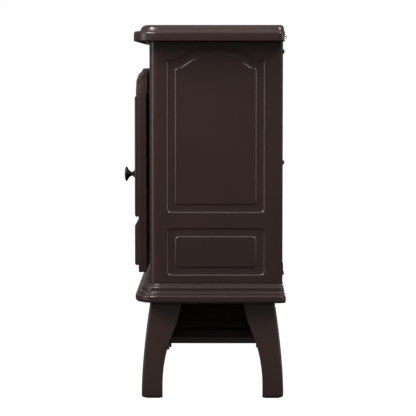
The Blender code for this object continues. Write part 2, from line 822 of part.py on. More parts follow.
def make_door_glass():
    front = FACING_FRONT + DOOR_SHEET + MULLION_SHEET + 2 * GAP
    pane = outline_solid([window_outline(-0.0100)], "XZ", front, front + PANE_THICKNESS)
    return as_part(pane, "door_glass", "glass")


def make_door_knob():
    """A trumpet-shaped pull on a small turned rosette."""
    back = FACING_FRONT - 2 * GAP - 0.0022
    length = back - KNOB_FRONT
    flare = []
    for i in range(6):
        t = i / 5
        flare.append((0.0035 + 0.0083 * t ** 2.0, -length * (0.15 + 0.62 * t)))
    profile = [(0.0, -length), (0.0070, -length + 0.0008), (0.0110, -length + 0.0020),
               (0.0122, -length + 0.0030)]
    profile += flare[::-1]
    profile += [(0.0045, -length * 0.10), (0.0045, 0.0), (0.0020, 0.0), (0.0020, 0.0070), (0.0, 0.0070)]
    knob = turned(profile[::-1], (KNOB_X, back, KNOB_Z), "Y", 20)
    as_part(knob, "door_knob", "black_gloss")
    rosette_back = FACING_FRONT - GAP
    ring = [(0.0026, 0.0), (0.0068, 0.0), (0.0068, -0.0010), (0.0052, -0.0022), (0.0026, -0.0022),
            (0.0026, 0.0)]
    rosette = turned(ring, (KNOB_X, rosette_back, KNOB_Z), "Y", 20)
    as_part(rosette, "knob_rosette", "black_gloss")
    return knob, rosette


def make_hinges():
    """Lift-off pivots: a bracket on the cabinet, and a pin in the door's edge, high and low."""
    pins = []
    for label, edge, outward in (("upper", DOOR_SHOULDER, 1), ("lower", DOOR_BOTTOM, -1)):
        ear = sorted((edge + outward * 0.0010, edge + outward * 0.0028))
        plate = sorted((edge + outward * 0.0010, edge + outward * 0.0120))
        if label == "lower":
            plate = [edge - 0.0028, edge + 0.0090]
        bracket = box((HINGE_X - 0.0070, HINGE_Y - 0.0065, ear[0]),
                      (HINGE_X + 0.0070, FRONT - GAP, ear[1]))
        join(bracket, box((HINGE_X - 0.0070, FRONT - GAP - 0.0018, plate[0]),
                          (HINGE_X + 0.0070, FRONT - GAP, plate[1])))
        cut(bracket, cylinder((HINGE_X, HINGE_Y, edge - 0.02), 0.04, PIN_RADIUS + GAP, "Z", 12))
        as_part(bracket, label + "_hinge_bracket", "black_steel")
        low = edge - 0.0060 if outward > 0 else edge - 0.0045
        pin = cylinder((HINGE_X, HINGE_Y, low), 0.0105, PIN_RADIUS, "Z", 12)
        pins.append(as_part(pin, label + "_hinge_pin", "bright_steel"))
    return pins


def make_magnet_catch():
    """A post on the cabinet that reaches into the door's hollow stile and holds it shut."""
    x, z = CATCH_X, CATCH_Z
    back = FRONT - GAP
    catch = box((x - 0.0060, back - 0.0015, z - 0.0080), (x + 0.0060, back, z + 0.0080))
    join(catch, box((x - 0.0035, back - 0.0160, z - 0.0025),
                    (x + 0.0035, back - 0.0010, z + 0.0025)))
    return as_part(catch, "magnet_catch", "black_steel")


# ---------------------------------------------------------------- under-slung outlet


def front_lean(z):
    """Where the outlet's sloping front is, in Y, at a height."""
    low = OUTLET_BOTTOM + OUTLET_BAND
    return OUTLET_FRONT + OUTLET_SLOPE * (z - low) / (BASE_BOTTOM - low)


def make_outlet_pan():
    """The outlet's floor, with a low band round it and a full back wall."""
    low, high = OUTLET_BOTTOM, OUTLET_BOTTOM + OUTLET_BAND
    pan = box((-OUTLET_HALF, OUTLET_FRONT, low), (OUTLET_HALF, OUTLET_REAR, high))
    cut(pan, box((-OUTLET_HALF + SHEET, OUTLET_FRONT + SHEET, low + SHEET),
                 (OUTLET_HALF - SHEET, OUTLET_REAR - SHEET, high + 0.01)))
    join(pan, box((-OUTLET_HALF, OUTLET_REAR - SHEET, low + 0.005),
                  (OUTLET_HALF, OUTLET_REAR, BASE_BOTTOM - GAP)))
    return as_part(pan, "outlet_pan", "bronze_coat")


def tilted_slat(length_low, length_high, face, top, along, outward):
    """A louvre slat: a thin strip whose lower edge stands out from its upper edge."""
    section = [
        (face - outward * (SLAT_THROW + SLAT_SHEET), top),
        (face - outward * SLAT_THROW, top),
        (face, top - SLAT_HEIGHT),
        (face - outward * SLAT_SHEET, top - SLAT_HEIGHT),
    ]
    plane = "XZ" if along == "Y" else "YZ"
    return outline_solid([section], plane, length_low, length_high)


def make_outlet_side(name, side):
    """A side louvre: an end post at each end, a head rail and level slats between them."""
    low = OUTLET_BOTTOM + OUTLET_BAND + GAP
    high = BASE_BOTTOM - GAP
    face = side * OUTLET_HALF
    xs = sorted((face, face - side * GRILLE_SIDE_DEPTH))
    rear = OUTLET_REAR - SHEET - GAP
    post = GRILLE_POST
    outer = [(front_lean(low) + GAP, low), (rear, low), (rear, high), (front_lean(high) + GAP, high)]
    inner = [(front_lean(low - 0.01) + post, low - 0.01), (rear - post, low - 0.01),
             (rear - post, high - 0.0060), (front_lean(high) + post, high - 0.0060)]
    grille = outline_solid([outer], "YZ", xs[0], xs[1])
    cut(grille, outline_solid([inner], "YZ", xs[0] - 0.01, xs[1] + 0.01))
    for top in SLAT_TOPS:
        join(grille, tilted_slat(front_lean(top) + post * 0.5, rear - post * 0.5,
                                 face - side * 0.0002, top, "Y", side))
    return as_part(grille, name, "bronze_coat")


def make_outlet_front():
    """The front louvre, which leans back from the pan to the base."""
    low = OUTLET_BOTTOM + OUTLET_BAND + GAP
    high = BASE_BOTTOM - 2 * GAP
    inner_end = OUTLET_HALF - GRILLE_SIDE_DEPTH - 2 * GAP
    depth = GRILLE_FRONT_DEPTH
    post = GRILLE_POST
    skin = [(front_lean(low), low), (front_lean(low) + depth, low),
            (front_lean(high) + depth, high), (front_lean(high), high)]
    grille = outline_solid([skin], "YZ", -inner_end, inner_end)
    rail = high - 0.0060
    hollow = [(front_lean(low - 0.01) - 0.01, low - 0.01), (front_lean(low - 0.01) + 0.02, low - 0.01),
              (front_lean(rail) + 0.02, rail), (front_lean(rail) - 0.01, rail)]
    middle = 0.004
    cut(grille, outline_solid([hollow], "YZ", -inner_end + post, -middle))
    cut(grille, outline_solid([hollow], "YZ", middle, inner_end - post))
    for top in SLAT_TOPS:
        face = front_lean(top - SLAT_HEIGHT) + 0.0004
        join(grille, tilted_slat(-inner_end + post * 0.5, inner_end - post * 0.5,
                                 face, top, "X", -1))
    return as_part(grille, "outlet_grille_front", "bronze_coat")


# ---------------------------------------------------------------- flame effect


def make_firebox_liner():
    """A sleeve of black sheet behind the front opening, open at its front and back."""
    outer = rounded_rectangle(-LINER_HALF, LINER_HALF, LINER_BOTTOM, LINER_TOP, 0.002, count=2)
    inner = rounded_rectangle(-LINER_HALF + SHEET, LINER_HALF - SHEET, LINER_BOTTOM + SHEET,
                              LINER_TOP - SHEET, 0.001, count=2)
    liner = outline_solid([outer, inner[::-1]], "XZ", LINER_FRONT, LINER_REAR)
    for side in (-1, 1):
        cut(liner, cylinder((side * LINER_HALF - 0.01, ROTOR_Y, ROTOR_Z), 0.02, ROTOR_HOLE, "X", 12))
    return as_part(liner, "firebox_liner", "black_steel")


def make_flame_screen():
    inside = SHEET + GAP
    screen = box((-LINER_HALF + inside, SCREEN_Y, LINER_BOTTOM + inside),
                 (LINER_HALF - inside, SCREEN_Y + SCREEN_THICKNESS, LINER_TOP - inside))
    return as_part(screen, "flame_screen", "screen")


def ember_height(x, y):
    """The mound's height over the liner floor."""
    across = 1 - (x / EMBER_HALF) ** 4
    deep = math.sin(math.pi * (y - EMBER_FRONT) / (EMBER_REAR - EMBER_FRONT))
    lumps = 0.5 + 0.5 * math.sin(x * 95 + 1.3 * math.sin(y * 110)) * math.cos(y * 130 + x * 21)
    return 0.0040 + (0.0060 + 0.0060 * lumps) * max(across, 0.0) * (0.35 + 0.65 * max(deep, 0.0))


def make_ember_bed():
    """A lumpy translucent moulding that lies on the liner's floor."""
    bpy.ops.mesh.primitive_grid_add(x_subdivisions=18, y_subdivisions=5, size=1.0)
    bed = bpy.context.object
    for vert in bed.data.vertices:
        vert.co.x *= 2 * EMBER_HALF
        vert.co.y = EMBER_FRONT + (vert.co.y + 0.5) * (EMBER_REAR - EMBER_FRONT)
        vert.co.z = EMBER_LOW
    work = bmesh.new()
    work.from_mesh(bed.data)
    lifted = bmesh.ops.extrude_face_region(work, geom=list(work.faces))
    for item in lifted["geom"]:
        if isinstance(item, bmesh.types.BMVert):
            item.co.z += ember_height(item.co.x, item.co.y)
    face_outward(work)
    work.to_mesh(bed.data)
    work.free()
    return as_part(bed, "ember_bed", "ember")


def make_log(name):
    """A log with an uneven, slightly bent trunk."""
    middle, length, radius, turn, tilt, seed = LOGS[name]
    sides, rings = 12, 7
    bpy.ops.mesh.primitive_cylinder_add(vertices=sides, radius=radius, depth=length)
    log = bpy.context.object
    work = bmesh.new()
    work.from_mesh(log.data)
    long_edges = [e for e in work.edges if abs(e.verts[0].co.z - e.verts[1].co.z) > length * 0.5]
    bmesh.ops.subdivide_edges(work, edges=long_edges, cuts=rings, use_grid_fill=False)
    for vert in work.verts:
        along = vert.co.z / length
        angle = math.atan2(vert.co.y, vert.co.x)
        swell = 1 + 0.07 * math.sin(3 * angle + seed + along * 7) + 0.06 * math.sin(along * 11 + seed)
        vert.co.x *= swell
        vert.co.y *= swell
        vert.co.x += radius * 0.20 * math.sin(along * 4 + seed)
    work.to_mesh(log.data)
    work.free()
    lay = Matrix.Rotation(math.radians(90), 4, "Y")
    log.matrix_world = (Matrix.Translation(middle) @ Matrix.Rotation(math.radians(turn), 4, "Z")
                        @ Matrix.Rotation(math.radians(tilt), 4, "Y") @ lay)
    bpy.context.view_layer.update()
    apply_transform(log)
    return as_part(log, name, "bark")


def make_led_board():
    """A strip of lamps on the liner's floor, under the flame rotor."""
    low = LINER_BOTTOM + SHEET + GAP
    board = box((-0.1800, ROTOR_Y - 0.0070, low), (0.1800, ROTOR_Y + 0.0070, low + 0.0016))
    for i in range(LAMPS):
        x = (i - (LAMPS - 1) / 2) * LAMP_PITCH
        join(board, box((x - 0.0025, ROTOR_Y - 0.0025, low + 0.0010),
                        (x + 0.0025, ROTOR_Y + 0.0025, low + 0.0030)))
    return as_part(board, "led_board", "board")


def make_flame_rotor():
    """A rod with bright flags that throws moving light on the screen."""
    rod_start = -LINER_HALF - 0.0060
    rotor = cylinder((rod_start, ROTOR_Y, ROTOR_Z), LINER_HALF + 0.0040 - rod_start,
                     0.0022, "X", 12)
    set_origin(rotor, (0.0, ROTOR_Y, ROTOR_Z))
    for i in range(FLAGS):
        x = -ROTOR_HALF + 0.020 + i * (2 * ROTOR_HALF - 0.040) / (FLAGS - 1)
        flag = box((x - 0.0140, -0.0130, -0.0004), (x + 0.0140, 0.0130, 0.0004))
        turn = Matrix.Rotation(math.radians(40.0 * i), 4, "X")
        flag.data.transform(Matrix.Translation((x, 0, 0)) @ turn)
        flag.matrix_world = Matrix.Translation((0.0, ROTOR_Y, ROTOR_Z))
        join(rotor, flag)
    return as_part(rotor, "flame_rotor", "bright_steel")


def make_rotor_supports():
    """A small geared motor at the right end of the rotor, and a bearing bracket at the left."""
    face = LINER_HALF + GAP
    motor = cylinder((face, ROTOR_Y, ROTOR_Z), 0.0160, 0.0190, "X", 20)
    join(motor, box((face, ROTOR_Y - 0.0300, ROTOR_Z - 0.0060),
                    (face + 0.0012, ROTOR_Y + 0.0300, ROTOR_Z + 0.0060)))
    cut(motor, cylinder((face - 0.01, ROTOR_Y, ROTOR_Z), 0.0160, 0.0026, "X", 12))
    as_part(motor, "rotor_motor", "bright_steel")
    bracket = box((-face - 0.0070, ROTOR_Y - 0.0100, ROTOR_Z - 0.0120),
                  (-face, ROTOR_Y + 0.0100, ROTOR_Z + 0.0120))
    cut(bracket, cylinder((-face - 0.02, ROTOR_Y, ROTOR_Z), 0.04, 0.0026, "X", 12))
    as_part(bracket, "rotor_bracket", "grey_plastic")


# ---------------------------------------------------------------- heater and blower


def make_element_frame():
    """The reflector over the heater tubes, with an end plate that holds each pair of ends."""
    low, high = OUTLET_BOTTOM + SHEET + GAP, BASE_BOTTOM - GAP
    front, rear = -0.0160, 0.0520
    end = ELEMENT_HALF
    lip, top = TUBE_Z + 0.0040, TUBE_Z + HOOD_RISE
    inside = top - 0.0014
    hood = outline_solid(
        [[(front, lip), (front + 0.0016, lip), (front + 0.0100, inside), (rear - 0.0100, inside),
          (rear - 0.0016, lip), (rear, lip), (rear - 0.0090, top), (front + 0.0090, top)]],
        "YZ", -end, end)
    for side in (-1, 1):
        clear = 0.0090
        outline = [(front_lean(low) + clear, low), (OUTLET_REAR - SHEET - clear, low),
                   (OUTLET_REAR - SHEET - clear, high), (front_lean(high) + clear, high)]
        plate = outline_solid([outline], "YZ", side * end - 0.0010, side * end + 0.0010)
        for y in TUBE_YS.values():
            cut(plate, cylinder((side * end - 0.01, y, TUBE_Z), 0.02, TUBE_RADIUS + GAP, "X", 16))
        join(hood, freeze(plate))
    return as_part(hood, "element_frame", "black_steel")


def make_quartz_tubes():
    for name, y in TUBE_YS.items():
        tube = cylinder((-TUBE_HALF, y, TUBE_Z), 2 * TUBE_HALF, TUBE_RADIUS, "X", 16)
        as_part(tube, name, "quartz")


def make_thermal_cutout():
    """A round trip switch on top of the reflector."""
    top = TUBE_Z + HOOD_RISE + GAP
    profile = [(0.0, 0.0060), (0.0050, 0.0060), (0.0055, 0.0050), (0.0055, 0.0022),
               (0.0080, 0.0020), (0.0080, 0.0), (0.0, 0.0)]
    button = turned(profile, (0.0800, 0.0180, top), "Z", 16)
    return as_part(button, "thermal_cutout", "black_plastic")


def make_blower_housing():
    """A scroll round the blower wheel, open in front for intake and below for the outlet."""
    clear = BLOWER_RADIUS + 0.0035
    wall = 0.0016
    foot = BASE_BOTTOM + SHEET + 0.0065

    def hood(radius, low):
        start, end = math.radians(-25), math.radians(205)
        sweep = arc((BLOWER_Y, BLOWER_Z), radius, -25, 205, 14)
        return sweep + [(BLOWER_Y + radius * math.cos(end), low),
                        (BLOWER_Y + radius * math.cos(start), low)]

    housing = outline_solid([hood(clear + wall, foot)], "YZ", -BLOWER_HALF, BLOWER_HALF)
    cut(housing, outline_solid([hood(clear, foot - 0.01)], "YZ",
                               -BLOWER_HALF + wall, BLOWER_HALF - wall))
    for x in (-BLOWER_HALF, BLOWER_HALF):
        cut(housing, cylinder((x - 0.01, BLOWER_Y, BLOWER_Z), 0.02, 0.0045, "X", 12))
    cut(housing, box((-BLOWER_HALF + 0.010, BLOWER_Y - 0.060, BLOWER_Z - 0.014),
                     (BLOWER_HALF - 0.010, BLOWER_Y - 0.015, BLOWER_Z + 0.014)))
    return as_part(housing, "blower_housing", "black_steel")


def make_blower_wheel():
    """A tangential wheel: swept fins between end discs, on a thin shaft."""
    length = BLOWER_HALF - 0.0050
    root, tip = 0.0150, BLOWER_RADIUS - 0.0010
    loop = []
    for i in range(BLOWER_FINS):
        base = 360.0 * i / BLOWER_FINS
        for radius, lead in ((root, 0.0), (tip, 9.0), (tip, 14.0), (root, 7.0)):
            angle = math.radians(base + lead)
            loop.append((BLOWER_Y + radius * math.cos(angle), BLOWER_Z + radius * math.sin(angle)))
    wheel = outline_solid([loop], "YZ", -length, length)
    for x in (-length - 0.0010, -0.0010, length - 0.0010):
        join(wheel, cylinder((x, BLOWER_Y, BLOWER_Z), 0.0020, BLOWER_RADIUS, "X", 28))
    join(wheel, cylinder((-BLOWER_HALF - 0.0040, BLOWER_Y, BLOWER_Z),
                         2 * BLOWER_HALF + 0.0160, 0.0030, "X", 12))
    wheel = set_origin(freeze(wheel), (0.0, BLOWER_Y, BLOWER_Z))
    return as_part(wheel, "blower_wheel", "black_plastic")


def make_blower_motor():
    """The blower's motor can, with a boss at its outer end and a bore for the wheel's shaft."""
    face = BLOWER_HALF + GAP
    motor = cylinder((face, BLOWER_Y, BLOWER_Z), 0.0300, 0.0210, "X", 20)
    join(motor, cylinder((face + 0.0280, BLOWER_Y, BLOWER_Z), 0.0080, 0.0090, "X", 16))
    cut(motor, cylinder((face - 0.01, BLOWER_Y, BLOWER_Z), 0.0240, 0.0036, "X", 12))
    return as_part(motor, "blower_motor", "bright_steel")


# ---------------------------------------------------------------- controls


def make_control_panel():
    """The plate behind the door's lower facing, with its switch and knob holes."""
    loops = [rounded_rectangle(-0.1580, 0.1580, CONTROL_Z - 0.0330, CONTROL_Z + 0.0330,
                               0.003, count=2)]
    for x in ROCKERS.values():
        loops.append(rounded_rectangle(x - 0.0079, x + 0.0079, CONTROL_Z - 0.0125,
                                       CONTROL_Z + 0.0125, 0.0006, count=1)[::-1])
    for x, _ in KNOBS.values():
        loops.append(arc((x, CONTROL_Z), 0.0036, 360, 22.5, 15))
    plate = outline_solid(loops, "XZ", CONTROL_Y, CONTROL_Y + 0.0020)
    return as_part(plate, "control_panel", "black_plastic")


def make_rocker(name):
    """A rocker with a slight V across its face, resting tipped to its off side."""
    x = ROCKERS[name]
    pivot_y = CONTROL_Y + 0.0010
    top, waist, back = -0.0048, -0.0032, 0.0045
    half = 0.0115
    section = [(top, half), (waist, 0.0), (top, -half), (back * 0.2, -half + 0.0004),
               (back, -0.0050), (back, 0.0050), (back * 0.2, half - 0.0004)]
    rocker = outline_solid([section], "YZ", -0.0075, 0.0075)
    rocker.data.transform(Matrix.Rotation(math.radians(-ROCKER_TILT), 4, "X"))
    rocker.matrix_world = Matrix.Translation((x, pivot_y, CONTROL_Z))
    return as_part(rocker, name, "black_gloss")


def make_control_knob(name):
    """A skirted knob with a pointer ridge, on a shaft through the panel."""
    x, radius = KNOBS[name]
    face = CONTROL_Y - GAP
    profile = [(0.0, 0.0120), (0.0030, 0.0120), (0.0030, 0.0), (radius, 0.0), (radius, -0.0018),
               (radius * 0.80, -0.0030), (radius * 0.74, -0.0090), (radius * 0.66, -0.0098),
               (0.0, -0.0098)]
    knob = freeze(turned(profile, (x, face, CONTROL_Z), "Y", 18))
    join(knob, box((x - 0.0009, face - 0.0106, CONTROL_Z),
                   (x + 0.0009, face - 0.0040, CONTROL_Z + radius * 0.82)))
    knob = set_origin(freeze(knob), (x, face, CONTROL_Z))
    return as_part(knob, name, "black_plastic")


def make_control_board():
    """The circuit board behind the controls, with a relay and a transformer on it."""
    front = CONTROL_Y + 0.0180
    board = box((-0.1450, front, CONTROL_Z - 0.0230), (0.1450, front + 0.0016, CONTROL_Z + 0.0230))
    transformer = box((0.0350, front + 0.0010, CONTROL_Z - 0.0120),
                      (0.0600, front + 0.0170, CONTROL_Z + 0.0120))
    relay = box((-0.1250, front + 0.0010, CONTROL_Z - 0.0080),
                (-0.1060, front + 0.0160, CONTROL_Z + 0.0080))
    join(board, transformer, relay)
    return as_part(board, "control_board", "board")


# ---------------------------------------------------------------- assembly

make_top_lid()
make_base_plinth()
make_side_panel("right_side_panel", 1)
make_side_panel("left_side_panel", -1)
make_front_frame()
make_rear_panel()
make_rear_screws()
make_cord_gland()

for end, end_name in ((-1, "front"), (1, "rear")):
    for side, side_name in ((1, "right"), (-1, "left")):
        make_leg("leg_" + end_name + "_" + side_name, side, end)
        make_foot_pad("foot_pad_" + end_name + "_" + side_name, side, end)

door_frame = make_door_frame()
mullions = make_door_mullions()
pane = make_door_glass()
door_knob, knob_rosette = make_door_knob()
hinge_pins = make_hinges()
make_magnet_catch()
mount_on("door_axis", (HINGE_X, HINGE_Y, DOOR_BOTTOM),
         door_frame, mullions, pane, door_knob, knob_rosette, *hinge_pins)

make_outlet_pan()
make_outlet_side("outlet_grille_right", 1)
make_outlet_side("outlet_grille_left", -1)
make_outlet_front()

make_firebox_liner()
make_flame_screen()
make_ember_bed()
for log_name in LOGS:
    make_log(log_name)
make_led_board()
make_flame_rotor()
make_rotor_supports()

make_element_frame()
make_quartz_tubes()
make_thermal_cutout()
make_blower_housing()
make_blower_wheel()
make_blower_motor()

make_control_panel()
make_control_board()
for rocker_name in ROCKERS:
    make_rocker(rocker_name)
for knob_name in KNOBS:
    make_control_knob(knob_name)

for piece in [*parts.objects, *cutters.objects]:
    if piece.parent is None and not piece.name.startswith(("leg_", "foot_pad_")):
        piece.location.z += STANCE
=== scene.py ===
"""Looks of a free-standing electric stove heater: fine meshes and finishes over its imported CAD."""

import json
import math

import bmesh
import bpy
from mathutils import Matrix, Vector, noise


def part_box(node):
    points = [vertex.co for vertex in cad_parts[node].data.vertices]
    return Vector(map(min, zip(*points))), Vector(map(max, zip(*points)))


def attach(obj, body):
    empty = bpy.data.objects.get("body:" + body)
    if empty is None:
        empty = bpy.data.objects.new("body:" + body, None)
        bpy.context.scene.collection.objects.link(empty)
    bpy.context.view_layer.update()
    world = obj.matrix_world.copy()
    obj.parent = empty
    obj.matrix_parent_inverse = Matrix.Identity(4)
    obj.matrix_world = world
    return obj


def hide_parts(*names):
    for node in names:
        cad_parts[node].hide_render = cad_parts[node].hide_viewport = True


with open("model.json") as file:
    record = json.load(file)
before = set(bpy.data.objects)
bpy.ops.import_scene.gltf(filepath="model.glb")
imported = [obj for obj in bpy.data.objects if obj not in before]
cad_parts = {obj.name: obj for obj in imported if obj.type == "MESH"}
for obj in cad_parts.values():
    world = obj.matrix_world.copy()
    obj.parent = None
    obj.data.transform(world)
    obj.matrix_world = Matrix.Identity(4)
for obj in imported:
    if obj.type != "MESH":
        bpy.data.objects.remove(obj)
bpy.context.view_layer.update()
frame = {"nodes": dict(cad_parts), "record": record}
nodes = frame["nodes"]
node_slots = {row["node"]: row["material_slot"] for row in frame["record"]["subparts"]}

# ------------ finishes


class Finish:
    """A node-based material under construction. Its patterns are in metres, in object space."""

    def __init__(self, name, colour, roughness, **sockets):
        self.material = bpy.data.materials.new(name)
        self.material.use_nodes = True
        self.tree = self.material.node_tree
        self.shader = self.tree.nodes["Principled BSDF"]
        self.place = self.add("ShaderNodeTexCoord").outputs["Object"]
        self.last_bump = None
        self.shader.inputs["Base Color"].default_value = (*colour, 1.0)
        self.shader.inputs["Roughness"].default_value = roughness
        self.material.diffuse_color = (*colour, 1.0)
        for key, value in sockets.items():
            self.shader.inputs[key.replace("_", " ")].default_value = value

    def add(self, kind, **settings):
        node = self.tree.nodes.new(kind)
        for key, value in settings.items():
            setattr(node, key, value)
        return node

    def link(self, output, target):
        self.tree.links.new(output, target)

    def stretched(self, scale):
        """The object coordinate, stretched by a factor along each axis."""
        mapping = self.add("ShaderNodeMapping")
        mapping.inputs["Scale"].default_value = scale
        self.link(self.place, mapping.inputs["Vector"])
        return mapping.outputs["Vector"]

    def noise(self, scale, detail=3.0, vector=None, distortion=0.0):
        node = self.add("ShaderNodeTexNoise")
        values = {"Scale": scale, "Detail": detail, "Roughness": 0.55, "Distortion": distortion}
        for key, value in values.items():
            node.inputs[key].default_value = value
        self.link(vector or self.place, node.inputs["Vector"])
        return node.outputs["Fac"]

    def cells(self, scale, output="Distance", vector=None, feature="F1"):
        node = self.add("ShaderNodeTexVoronoi", feature=feature)
        node.inputs["Scale"].default_value = scale
        self.link(vector or self.place, node.inputs["Vector"])
        return node.outputs[output]

    def spread(self, value, low=0.3, high=0.7, start=0.0, end=1.0):
        """A value between low and high, mapped from start to end."""
        node = self.add("ShaderNodeMapRange")
        for key, limit in (("From Min", low), ("From Max", high), ("To Min", start), ("To Max", end)):
            node.inputs[key].default_value = limit
        self.link(value, node.inputs["Value"])
        return node.outputs["Result"]

    def math(self, operation, first, second):
        node = self.add("ShaderNodeMath", operation=operation)
        for socket, value in zip(node.inputs, (first, second)):
            if isinstance(value, (int, float)):
                socket.default_value = value
            else:
                self.link(value, socket)
        return node.outputs["Value"]

    def mixed(self, share, low, high):
        """A colour between two, each a colour or an output."""
        node = self.add("ShaderNodeMix", data_type="RGBA")
        self.link(share, node.inputs[0])
        for index, value in ((6, low), (7, high)):
            if isinstance(value, tuple):
                node.inputs[index].default_value = (*value, 1.0)
            else:
                self.link(value, node.inputs[index])
        return node.outputs[2]

    def colour(self, output):
        self.link(output, self.shader.inputs["Base Color"])

    def rough(self, value, start, end, low=0.3, high=0.7):
        """Roughness from start to end, as a value goes from low to high."""
        self.link(self.spread(value, low, high, start, end), self.shader.inputs["Roughness"])

    def bump(self, height, distance):
        """Adds a relief, its depth in metres, to what is there already."""
        node = self.add("ShaderNodeBump")
        node.inputs["Strength"].default_value = 1.0
        node.inputs["Distance"].default_value = distance
        self.link(height, node.inputs["Height"])
        if self.last_bump is not None:
            self.link(self.last_bump, node.inputs["Normal"])
        self.last_bump = node.outputs["Normal"]
        self.link(self.last_bump, self.shader.inputs["Normal"])

    def edge_share(self):
        """How far a point is a convex edge."""
        return self.spread(self.add("ShaderNodeNewGeometry").outputs["Pointiness"], 0.52, 0.60)


def shade(colour, factor):
    return tuple(channel * factor for channel in colour)


def bronze_coat():
    """Dark bronze powder coat: fine orange peel, faint cloudiness, and convex edges lightened in patches,
    partly wear and partly a painted highlight.
    """
    base = (0.0330, 0.0168, 0.0143)
    made = Finish("bronze_powder_coat", base, 0.30, Specular_IOR_Level=0.5)
    cloud = made.noise(9.0, 2.0)
    fleck = made.spread(made.noise(2600.0, 1.0), 0.56, 0.74)
    body = made.mixed(made.spread(cloud), shade(base, 0.93), shade(base, 1.07))
    body = made.mixed(made.math("MULTIPLY", fleck, 0.12), body, shade(base, 1.4))
    # Convex edges are lightened in colour in patches: partly edge wear, partly a painted highlight.
    edge_wear_and_painted_highlight = made.math("MULTIPLY", made.edge_share(), made.spread(made.noise(55.0, 3.0), 0.40, 0.62))
    made.colour(made.mixed(made.math("MULTIPLY", edge_wear_and_painted_highlight, 0.16), body, shade(base, 2.0)))
    grain = made.spread(made.noise(520.0, 2.0), 0.3, 0.7, 0.291, 0.299)
    drift = made.spread(cloud, 0.3, 0.7, -0.008, 0.008)
    made.link(made.math("ADD", grain, drift), made.shader.inputs["Roughness"])
    made.bump(made.noise(420.0, 2.0), 0.000008)
    made.bump(made.noise(1900.0, 2.0), 0.000003)
    return made.material


def black_steel():
    """Matt black stoved paint on sheet steel, with faint rolling streaks."""
    base = (0.0150, 0.0138, 0.0130)
    made = Finish("black_stoved_steel", base, 0.55, Specular_IOR_Level=0.4)
    streak = made.noise(60.0, 3.0, vector=made.stretched((0.25, 1.0, 6.0)))
    made.colour(made.mixed(made.spread(streak), shade(base, 0.85), shade(base, 1.25)))
    made.rough(made.noise(240.0, 3.0), 0.48, 0.64)
    made.bump(made.noise(700.0, 2.0), 0.000030)
    return made.material


def bright_steel():
    """Zinc-plated steel with fine brushing and a mottled passivation."""
    base = (0.52, 0.52, 0.50)
    made = Finish("zinc_plated_steel", base, 0.30, Metallic=1.0)
    brush = made.noise(300.0, 2.0, vector=made.stretched((0.2, 3.0, 3.0)))
    spangle = made.cells(160.0, "Color")
    tone = made.mixed(made.spread(brush), shade(base, 0.85), shade(base, 1.1))
    patch = made.math("MULTIPLY", made.spread(spangle, 0.0, 1.0), 0.15)
    made.colour(made.mixed(patch, tone, shade(base, 0.7)))
    made.rough(brush, 0.24, 0.40)
    made.bump(brush, 0.000012)
    return made.material


def enamel():
    """Deep black gloss enamel with faint dust."""
    base = (0.0060, 0.0050, 0.0050)
    made = Finish("black_enamel", base, 0.14, Specular_IOR_Level=0.55, Coat_Weight=0.4, Coat_Roughness=0.06)
    dust = made.spread(made.noise(900.0, 3.0), 0.62, 0.80)
    made.colour(made.mixed(made.math("MULTIPLY", dust, 0.4), base, (0.03, 0.027, 0.025)))
    made.rough(made.noise(120.0, 3.0), 0.10, 0.20)
    made.bump(made.noise(160.0, 1.0), 0.000010)
    return made.material


def moulded(name, base, roughness, grain=1300.0, depth=0.000020):
    """Spark-eroded moulded plastic."""
    made = Finish(name, base, roughness, Specular_IOR_Level=0.45)
    tone = made.noise(35.0, 2.0)
    made.colour(made.mixed(made.spread(tone), shade(base, 0.9), shade(base, 1.12)))
    texture = made.noise(grain, 2.0)
    made.rough(texture, roughness - 0.05, roughness + 0.07)
    made.bump(texture, depth)
    return made.material


def window_glass():
    """Clear toughened glass, slightly smoked, with a little haze from handling."""
    made = Finish("toughened_glass", (0.62, 0.60, 0.58), 0.03, Transmission_Weight=1.0, IOR=1.5)
    haze = made.noise(14.0, 4.0)
    made.rough(haze, 0.015, 0.07, 0.45, 0.75)
    made.colour(made.mixed(made.spread(haze, 0.3, 0.8), (0.62, 0.60, 0.58), (0.56, 0.54, 0.52)))
    return made.material


def quartz():
    """Frosted quartz, drawn lengthwise."""
    made = Finish("frosted_quartz", (0.93, 0.90, 0.88), 0.2, Transmission_Weight=0.85, IOR=1.46)
    frost = made.noise(500.0, 2.0, vector=made.stretched((0.3, 1.0, 1.0)))
    made.rough(frost, 0.10, 0.38)
    made.bump(frost, 0.000010)
    return made.material


def flame_screen():
    """A smoked diffuser with a faint printed flame-like mottling, unlit."""
    made = Finish("smoked_diffuser", (0.018, 0.012, 0.010), 0.3, Specular_IOR_Level=0.5)
    tongue = made.noise(14.0, 4.0, distortion=1.2, vector=made.stretched((1.6, 1.0, 0.55)))
    made.colour(made.mixed(made.spread(tongue, 0.45, 0.8), (0.010, 0.007, 0.006), (0.050, 0.024, 0.012)))
    made.rough(made.noise(1500.0, 1.0), 0.26, 0.38)
    made.bump(made.noise(1500.0, 1.0), 0.000015)
    return made.material


def ember():
    """Translucent amber resin, sooted and ashed on its high lumps."""
    made = Finish("ember_resin", (0.30, 0.07, 0.015), 0.45, Subsurface_Weight=0.25)
    made.shader.inputs["Subsurface Radius"].default_value = (0.006, 0.002, 0.001)
    soot = made.spread(made.noise(75.0, 4.0), 0.42, 0.56)
    ash = made.spread(made.noise(190.0, 4.0), 0.56, 0.66)
    amber = made.mixed(made.noise(110.0, 2.0), (0.42, 0.10, 0.012), (0.16, 0.028, 0.008))
    dark = made.mixed(soot, amber, (0.018, 0.013, 0.011))
    made.colour(made.mixed(ash, dark, (0.20, 0.18, 0.165)))
    made.rough(made.noise(400.0, 2.0), 0.35, 0.75)
    made.bump(made.noise(420.0, 4.0), 0.0006)
    return made.material


